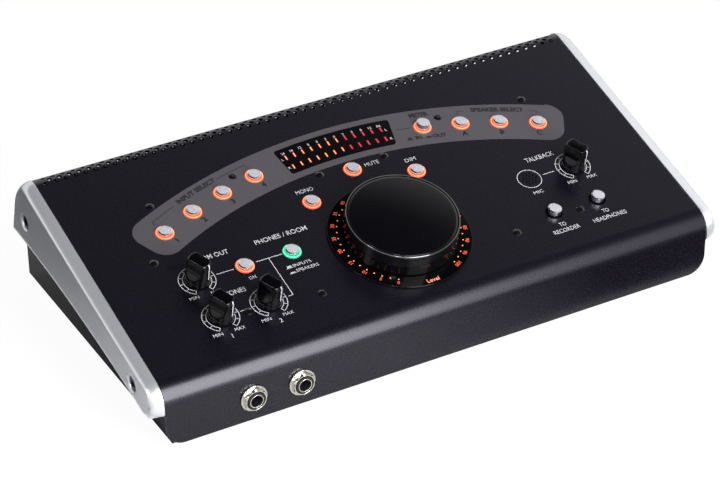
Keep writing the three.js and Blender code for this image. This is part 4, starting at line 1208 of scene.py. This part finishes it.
ring_profile = eased([
    (RING_INNER, STRIP_TOP), (RING_INNER, 0.1), (RING_OUTER - 2 * RING_CROWN, RING_HEIGHT - 0.15, 0.1),
    (RING_OUTER - RING_CROWN, RING_HEIGHT, 0.2), (RING_OUTER, RING_HEIGHT, RING_CROWN),
    (RING_OUTER, STRIP_TOP), (RING_INNER, STRIP_TOP)], 6)


def crown_glow(places, names):
    """How pale the ring is at each place: 1 on its crown, falling to 0 over the fade on both sides."""
    reach = np.min([np.linalg.norm(places[:, :2] - button_places[name], axis=1) for name in names], 0)
    crown = 1 - abs(reach - (RING_OUTER - RING_CROWN)) / RING_FADE
    return np.where(places[:, 2] > STRIP_TOP, crown, 0)


for node, names in GUIDES.items():
    collars = [turned_on_panel(button_places[name], ring_profile, RING_SIDES) for name in names]
    parts = [strip_part(node), *collars]
    material, slot = orange_glow, "orange_lens"
    if node == "phones_light_guide":
        material, slot = green_glow, "green_lens"
        strip, orange_ring, green_ring = parts
        parts = [strip, green_ring]
        ring = new_piece("studio_on_light_ring", [orange_ring], orange_glow)
        set_glow(ring, crown_glow(panel_coordinates(ring.data), ["studio_on"]))
        names = ("phones_source",)
    rings = new_piece(f"{node}_rings", parts, material)
    set_glow(rings, crown_glow(panel_coordinates(rings.data), names))
    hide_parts(node)


# Fifteen push button caps: satin plated, with a shallow chamfer round a pale, finely grained top, on a
# square plunger.
CAP_RADIUS = 3.6
CAP_DEPTH = 6.5
CAP_CHAMFER = 0.6
CAP_CHAMFER_FALL = 0.3
CAP_SIDES = 48
PLUNGER = 1.5


def plated_cap(tree):
    """Satin plate whose top is blasted to a pale grain: "glow" is 1 on the top and 0 on the sides."""
    top = add(tree, "ShaderNodeAttribute", attribute_name="glow")
    grain = object_noise(tree, 0.45, detail=1.0)
    spread = add(tree, "ShaderNodeMapRange", {
        "Value": grain.outputs["Fac"], "From Min": 0.35, "From Max": 0.65})
    pale = add(tree, "ShaderNodeMix", {
        0: spread.outputs["Result"], 6: linear("#b4b5c0"), 7: linear("#e2e2ea")}, data_type="RGBA")
    colour = add(tree, "ShaderNodeMix", {
        0: top.outputs["Fac"], 6: linear("#d2d0d6"), 7: pale.outputs[2]}, data_type="RGBA")
    metallic = add(tree, "ShaderNodeMapRange", {"Value": top.outputs["Fac"], "To Min": 1.0, "To Max": 0.3})
    roughness = add(tree, "ShaderNodeMapRange", {"Value": top.outputs["Fac"], "To Min": 0.22, "To Max": 0.5})
    return add(tree, "ShaderNodeBsdfPrincipled", {
        "Base Color": colour.outputs[2], "Metallic": metallic.outputs["Result"],
        "Roughness": roughness.outputs["Result"]})


cap_plate = finished_material("satin_chrome_plate", plated_cap)


def push_cap(place, top, foot):
    """The cap as a lathe with a shallow chamfer, and the plunger as four rings of a square."""
    profile = eased([
        (0, top - CAP_DEPTH), (CAP_RADIUS, top - CAP_DEPTH, 0.1), (CAP_RADIUS, top - CAP_CHAMFER_FALL),
        (CAP_RADIUS - CAP_CHAMFER, top), (CAP_RADIUS - CAP_CHAMFER - 0.12, top + 0.01), (0, top + 0.05)])
    points, faces = turned(profile, CAP_SIDES)
    corner = PLUNGER * math.sqrt(2)
    square, square_faces = turned(np.array([
        (0, foot), (corner, foot), (corner, top - CAP_DEPTH + 0.2), (0, top - CAP_DEPTH + 0.2)]), 4)
    across = stacked(square[..., 0] - square[..., 1], square[..., 0] + square[..., 1], square[..., 2])
    return [(on_place(place, points), faces),
            (on_place(place, across * (0.5 ** 0.5, 0.5 ** 0.5, 1)), square_faces)]


for name, place in button_places.items():
    heights = panel_coordinates(nodes[f"{name}_button"].data)[:, 2]
    top = heights.max() - 0.06
    cap = new_piece(f"{name}_push_cap", push_cap(place, top, heights.min()), cap_plate,
                    f"{name}_button_body", sharp=15)
    set_glow(cap, (panel_coordinates(cap.data)[:, 2] > top + 0.005).astype(float))
    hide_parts(f"{name}_button")


# Four pointer knobs: gloss black ABS, a round body with a soft shoulder and two flat flanks that run out at
# its foot, and a white line down the pointer's end.
KNOB_FOOT = 1.0
KNOB_TOP = 15.0
KNOB_BASE_RADIUS = 6.6
KNOB_TOP_RADIUS = 6.2
SHOULDER = 1.3
SHOULDER_FROM = 12.4
FLANK_FROM = 5.0
FLANK_HALF_WIDTH = 3.3
FLANK_SPREAD = 3.4
FLANK_CRISPNESS = 26
TOP_EDGE = 0.35
POINTER_TURN = math.radians(152)
POINTER_LINE = 0.75
KNOB_BORE = 2.6
KNOB_BORE_TOP = KNOB_FOOT + 6
KNOB_ANGLE_STEPS = 180
KNOB_HEIGHT_STEPS = 44
LINE_STEPS = 24


def gloss_abs(tree):
    """Moulded ABS with a polished skin: black, with a sharp reflection and faint dust."""
    dust = object_noise(tree, 1.0, detail=6.0)
    roughness = add(tree, "ShaderNodeMapRange", {
        "Value": dust.outputs["Fac"], "From Min": 0.45, "From Max": 0.7, "To Min": 0.08, "To Max": 0.15})
    return add(tree, "ShaderNodeBsdfPrincipled", {
        "Base Color": linear("#060608"), "Roughness": roughness.outputs["Result"], "IOR": 1.38})


gloss_black = finished_material("gloss_black_abs", gloss_abs)


def knob_radius(z, angle):
    """The knob's radius at a height and an angle from its pointer: r = min(R(z), h(z) / |sin a|), softened by
    a power mean. R tapers and is drawn in by a quarter ellipse at the shoulder. The half width between the
    flanks is h = flank + spread (1 - s)^2.4 over the height s above their foot, and a small round of its own
    draws both in at the top."""
    rise = (z - KNOB_FOOT) / (KNOB_TOP - KNOB_FOOT)
    shoulder = np.clip((z - SHOULDER_FROM) / (KNOB_TOP - SHOULDER_FROM), 0, 1)
    skirt = KNOB_BASE_RADIUS + (KNOB_TOP_RADIUS - KNOB_BASE_RADIUS) * rise
    skirt = skirt - SHOULDER * (1 - np.sqrt(1 - shoulder ** 2 * 0.99))
    s = np.clip((z - FLANK_FROM) / (KNOB_TOP - FLANK_FROM), 0, 1)
    flank = (FLANK_HALF_WIDTH + FLANK_SPREAD * (1 - s) ** 2.4) / np.maximum(abs(np.sin(angle)), 1e-3)
    edge = np.clip((z - KNOB_TOP + TOP_EDGE) / TOP_EDGE, 0, 1)
    drawn_in = TOP_EDGE * (1 - np.sqrt(1 - edge ** 2 * 0.999))
    return (skirt ** -FLANK_CRISPNESS + flank ** -FLANK_CRISPNESS) ** (-1 / FLANK_CRISPNESS) - drawn_in


def around_knob(place, radius, angle, z):
    """Places on the panel at a radius, a clockwise angle from the pointer and a height."""
    turn = POINTER_TURN + angle
    return on_panel(place[0] + radius * np.sin(turn), place[1] + radius * np.cos(turn), z)


def pointer_knob(place):
    """Rings from the bore up the outside to the middle of the top, which is crowned a little."""
    angle = np.arange(KNOB_ANGLE_STEPS) * 2 * math.pi / KNOB_ANGLE_STEPS
    z = np.concatenate([
        KNOB_FOOT + (KNOB_TOP - TOP_EDGE - KNOB_FOOT) * np.linspace(0, 1, KNOB_HEIGHT_STEPS) ** 0.8,
        KNOB_TOP - TOP_EDGE * (1 - np.sin(np.linspace(0, math.pi / 2, 7)[1:]))])
    bore = KNOB_BORE + 0 * angle
    rings = [(0 * angle, KNOB_BORE_TOP), (bore, KNOB_BORE_TOP), (bore, KNOB_FOOT)]
    rings += [(knob_radius(height, angle), height) for height in z]
    edge = rings[-1][0]
    rings += [(edge * share, KNOB_TOP + 0.1 * (1 - share ** 2)) for share in (0.96, 0.8, 0.5, 0.25, 0)]
    points = np.array([around_knob(place, radius, angle, height) for radius, height in rings])
    return points, grid_faces(len(rings), KNOB_ANGLE_STEPS, closed=True)


def pointer_line(place):
    """The white line: a thin closed strip that follows the pointer's end from its foot to its shoulder."""
    z = np.linspace(FLANK_FROM, KNOB_TOP - 0.3, LINE_STEPS)
    reach = knob_radius(z, 0)
    half_turn = POINTER_LINE / 2 / reach
    corners = [(reach - 0.08, half_turn), (reach + 0.03, half_turn), (reach + 0.03, -half_turn),
               (reach - 0.08, -half_turn)]
    points = np.stack([around_knob(place, radius, angle, z) for radius, angle in corners], 1)
    return points, rod_faces(LINE_STEPS)


for name, place in knob_places.items():
    knob = new_piece(f"{name}_pointer_knob", [pointer_knob(place)], gloss_black,
                     f"{name}_control", sharp=30)
    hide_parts(f"{name}_knob")
    new_piece(f"{name}_pointer_line", [pointer_line(place)], white_ink, f"{name}_control")


# The volume dial: a gloss black disc let into the panel, with numbers and dots that are lit from behind.
# It stays on the panel when the knob turns.
DIAL_RADIUS = 37.4
DIAL_TOP = 1.2
DIAL_BOTTOM = 0.3
NUMBER_RADIUS = 34.6
DOT_RADIUS = 32.4
DOT_SIZE = 0.36
DIAL_FIRST = -150
DIAL_BORE = 4.4
BOSS_DEPTH = -2.0

# Polished black acrylic with a very sharp reflection.
acrylic = finished_material("black_acrylic", uneven_gloss("#050506", 0.06, 0.14, size=4, IOR=1.3))
scale_ink = finished_material("lit_scale_ink", screen_ink("#e85a38", 0.4, 0.7))
dot_ink = finished_material("lit_dot_ink", screen_ink("#ff9c78", 0.4, 0.8))
disc = turned_on_panel(dial_place, eased([
    (DIAL_BORE, BOSS_DEPTH), (DIAL_HOLE - GAP, BOSS_DEPTH), (DIAL_HOLE - GAP, DIAL_BOTTOM),
    (DIAL_RADIUS, DIAL_BOTTOM, 0.1), (DIAL_RADIUS, DIAL_TOP, 0.35), (DIAL_BORE, DIAL_TOP),
    (DIAL_BORE, BOSS_DEPTH)]), 160)
scale_disc = new_piece("dial_disc", [disc], acrylic, sharp=25)
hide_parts("volume_scale_disc")


def dial_legend(text, radius, degrees, height):
    """Letters bent round the dial, their feet towards its middle."""
    points, faces = letters(text, height)
    angle = math.radians(degrees) + points[:, 0] / radius
    reach = radius - height / 2 + points[:, 1]
    return on_panel(dial_place[0] + reach * np.sin(angle), dial_place[1] + reach * np.cos(angle),
                    points[:, 2] + DIAL_TOP), faces


def dial_dot(degrees):
    """A small round dot on the dial."""
    angle = math.radians(degrees)
    centre = (dial_place[0] + DOT_RADIUS * math.sin(angle), dial_place[1] + DOT_RADIUS * math.cos(angle))
    return slab(circle(*centre, DOT_SIZE, 10), np.arange(10)[None], DIAL_TOP - INK_SINK, DIAL_TOP + INK_RISE)


dial_marks = [dial_legend(str(5 * i), NUMBER_RADIUS, DIAL_FIRST + 15 * i, 1.95) for i in range(21)]
new_piece("dial_dots", [dial_dot(DIAL_FIRST + 7.5 * i) for i in range(41)], dot_ink)
new_piece("dial_scale", dial_marks, scale_ink)
level_legend = straight_legend("Level", dial_place[0], dial_place[1] - 35.9, 2.4, lift=DIAL_TOP)
new_piece("dial_legend", [level_legend], dot_ink)


# The volume knob: a polished black shell, a thin ring of brighter lacquer round its rim, and a separate matt
# soft-touch cap on top.
VOLUME_BASE = 30.0
VOLUME_TOP_RADIUS = 29.4
VOLUME_FOOT = 1.8
VOLUME_TOP = 14.3
VOLUME_CAP_RADIUS = 28.1
VOLUME_RIM = 0.85
VOLUME_WALL = 3.4
VOLUME_CROWN = 1.0
VOLUME_ROOF = 3.2
VOLUME_BOSS = 7
VOLUME_BORE = 3.3
VOLUME_BORE_TOP = 9.8
RIM_PROUD = 0.02

# Clear lacquer buffed over the black edge: the brightest reflection on the knob.
rim_lacquer = finished_material("polished_lacquer", uneven_gloss("#060608", 0.08, 0.14, size=4, IOR=2.1))
# Soft-touch lacquer: black, with a broad dim sheen and a very fine grain.
matt_black = finished_material(
    "soft_touch_lacquer", grained("#07060a", 0.16, size=0.6, strength=0.04, depth=0.01))
ceiling = VOLUME_TOP - VOLUME_ROOF
shell = turned_on_panel(dial_place, eased([
    (0, VOLUME_BORE_TOP), (VOLUME_BORE, VOLUME_BORE_TOP), (VOLUME_BORE, VOLUME_FOOT + GAP),
    (VOLUME_BOSS, VOLUME_FOOT + GAP, 0.2), (VOLUME_BOSS, ceiling, 0.4),
    (VOLUME_BASE - VOLUME_WALL, ceiling, 0.6), (VOLUME_BASE - VOLUME_WALL, VOLUME_FOOT, 0.2),
    (VOLUME_BASE, VOLUME_FOOT, 0.3), (VOLUME_TOP_RADIUS, VOLUME_TOP, VOLUME_RIM),
    (VOLUME_CAP_RADIUS + GAP, VOLUME_TOP, 0.1),
    (VOLUME_CAP_RADIUS + GAP, VOLUME_TOP - 1, 0.05), (0, VOLUME_TOP - 1)], 6), 192)
volume_shell = new_piece("volume_knob_shell", [shell], gloss_black, "volume_control", sharp=40)
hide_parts("volume_knob")
rim_foot = VOLUME_TOP - VOLUME_RIM - 0.05
rim_inside = VOLUME_CAP_RADIUS + GAP + 0.1
rim = turned_on_panel(dial_place, eased([
    (rim_inside, rim_foot), (VOLUME_TOP_RADIUS + RIM_PROUD + 0.04, rim_foot),
    (VOLUME_TOP_RADIUS + RIM_PROUD, VOLUME_TOP + RIM_PROUD, VOLUME_RIM),
    (rim_inside, VOLUME_TOP + RIM_PROUD), (rim_inside, rim_foot)], 8), 192)
new_piece("volume_knob_rim", [rim], rim_lacquer, "volume_control", sharp=40)
lid = turned_on_panel(dial_place, eased([
    (0, VOLUME_TOP - 0.7), (VOLUME_CAP_RADIUS, VOLUME_TOP - 0.7), (VOLUME_CAP_RADIUS, VOLUME_TOP - 0.25, 0.1),
    *((VOLUME_CAP_RADIUS * share, VOLUME_TOP - 0.15 + VOLUME_CROWN * (1 - share ** 2))
      for share in np.linspace(0.995, 0, 24))], 6), 160)
volume_lid = new_piece("volume_knob_lid", [lid], matt_black, "volume_control")
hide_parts("volume_knob_cap")


# The level meter: a smoked window with two rows of twelve lit bars, and a small scale over them. The bars are
# thin blocks on the window's face, with a dim halo round each.
METER_TOP = 0.3
METER_FLANGE = -1.8
LED_ROWS = (263.9, 256.7)
LED_PITCH = 5.1
LED_COUNT = 12
LED_ORANGE = 7
LED_LENGTH = 2.8
LED_WIDTH = 0.55
LED_HALO = 0.35
LED_DROP = (1.2, 0.8)
METER_BOLD = 0.01
METER_SIDES = (("L", 261.5, -31.0), ("L", 261.5, 30.5), ("R", 254.8, -30.2), ("R", 254.8, 30.2))
METER_SCALE = ("24", "18", "12", "8", "5", "2", "0", "2", "5", "8", "12", "PK")

# Smoked acrylic over the meter's lamps: nearly black and polished.
window_acrylic = finished_material("smoked_acrylic", uneven_gloss("#0a070a", 0.1, 0.16, size=3))
pane = slab(*filled([meter_outline(0)]), METER_FLANGE, METER_TOP)
meter_pane = new_piece("meter_pane", [pane], window_acrylic)
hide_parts("meter_window")
led_angles = (np.arange(LED_COUNT) - (LED_COUNT - 1) / 2) * LED_PITCH / BAND_RADIUS - 0.3 / BAND_RADIUS


def led_bar(radius, angle, grow=0.0, lift=INK_RISE):
    """One lit bar: a small block that stands straight up the panel, a little below its row's circle."""
    drop = LED_DROP[0] if angle < 0 else LED_DROP[1]
    centre = along_band(radius, angle) - (0, drop)
    along = np.array([0, LED_LENGTH / 2 + grow])
    return ribbon([centre - along, centre, centre + along], LED_WIDTH + 2 * grow, METER_TOP - INK_SINK,
                  METER_TOP + lift)


led_orange = finished_material("lit_orange_bar", screen_ink("#ffa36a", 0.3, 1.0))
led_red = finished_material("lit_red_bar", screen_ink("#dc2c54", 0.3, 0.7))
led_halo = finished_material("lit_bar_halo", screen_ink("#6a1a10", 0.3, 0.9))
orange_bars = [led_bar(radius, angle) for radius in LED_ROWS for angle in led_angles[:LED_ORANGE]]
red_bars = [led_bar(radius, angle) for radius in LED_ROWS for angle in led_angles[LED_ORANGE:]]
new_piece("orange_meter_bars", orange_bars, led_orange)
new_piece("red_meter_bars", red_bars, led_red)
halos = [led_bar(radius, angle, LED_HALO, INK_RISE / 2) for radius in LED_ROWS for angle in led_angles]
new_piece("meter_bar_halos", halos, led_halo)
meter_marks = [band_legend(text, 265.2, math.degrees(angle), 1.5, lift=METER_TOP, bold=METER_BOLD)
               for text, angle in zip(METER_SCALE, led_angles)]
meter_marks += [
    band_legend(letter, radius, math.degrees(across / radius), 1.6, lift=METER_TOP, bold=METER_BOLD)
    for letter, radius, across in METER_SIDES]
new_piece("meter_scale", meter_marks, white_ink)


# Headphone sockets: a chromed hexagon nut and washer on a nylon barrel, and a chromed ring in its mouth.
# The barrel is a copy of its CAD node, set back a little at the mouth.
NUT_FLATS = 5.5
WASHER_RADIUS = 7.15
BARREL = 4.6
BARREL_REACH = 4.0
MOUTH_DROP = 0.25
BORE = 3.2
JACK_EDGE = 0.1

# Bright nickel-chrome plate with slight wear in its polish.
chrome = finished_material(
    "nickel_chrome_plate", uneven_gloss("#d4d2c8", 0.05, 0.11, size=1.0, detail=4.0, Metallic=1.0))


def on_front(x, points):
    """A lathe's points stood on the front face at a column: its height runs out towards the front."""
    centre = casing_origin + np.array([x, 0, JACK_HEIGHT])
    return centre + stacked(points[..., 0], -points[..., 2], points[..., 1])


def hexagon_nut():
    """Rings of a hexagon whose corners are eased by a chamfer cone: r = min(hexagon, cone)."""
    angle = np.arange(96) * 2 * math.pi / 96
    hexagon = hexagon_radius(NUT_FLATS, angle)
    corner = NUT_FLATS / math.cos(math.pi / 6)
    rings = []
    for height, cone in ((0.8, corner + 0.05), (2.5, corner + 0.05), (3.0, corner - 0.8)):
        radius = np.minimum(hexagon, cone)
        rings.append(stacked(radius * np.cos(angle), radius * np.sin(angle), GAP + height))
    for radius, height in ((BARREL + 0.5, 3.0), (BARREL + 0.3, 2.8), (BARREL + 0.3, 0.8)):
        rings.append(stacked(radius * np.cos(angle), radius * np.sin(angle), GAP + height))
    rings.append(rings[0])
    return np.array(rings), grid_faces(len(rings), len(angle), closed=True)


washer_profile = eased([
    (BARREL + 0.3, GAP), (WASHER_RADIUS, GAP, 0.1), (WASHER_RADIUS, GAP + 0.8, 0.3),
    (BARREL + 0.3, GAP + 0.8), (BARREL + 0.3, GAP)])
mouth_low, mouth_high = BARREL_REACH - 1.5, BARREL_REACH - 0.05
mouth_profile = eased([
    (BORE + 0.05, mouth_low), (BORE + 0.5, mouth_low), (BORE + 0.5, mouth_high, 0.15),
    (BORE + 0.05, mouth_high, 0.15), (BORE + 0.05, mouth_low)])
for number, x in enumerate(jack_columns, 1):
    nut_points, nut_faces = hexagon_nut()
    washer_points, washer_faces = turned(washer_profile, 72)
    nut_parts = [(on_front(x, nut_points), nut_faces), (on_front(x, washer_points), washer_faces)]
    nut = new_piece(f"phones_socket_nut_{number}", nut_parts, chrome, sharp=25)
    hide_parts(f"phones_jack_{number}_nut")
    rim_points, rim_faces = turned(mouth_profile, 64)
    new_piece(f"phones_socket_mouth_{number}", [(on_front(x, rim_points), rim_faces)], chrome)
    jack = edged_copy(
        f"phones_jack_{number}", f"phones_socket_{number}", JACK_EDGE, nylon, "root")
    mouth = (casing_origin[1] - BARREL_REACH) * MM
    coordinates = np.empty(3 * len(jack.data.vertices))
    jack.data.vertices.foreach_get("co", coordinates)
    depth = coordinates[1::3]
    depth[depth < mouth + 0.5 * MOUTH_DROP * MM] = mouth + MOUTH_DROP * MM
    jack.data.vertices.foreach_set("co", coordinates)
    jack.data.update()
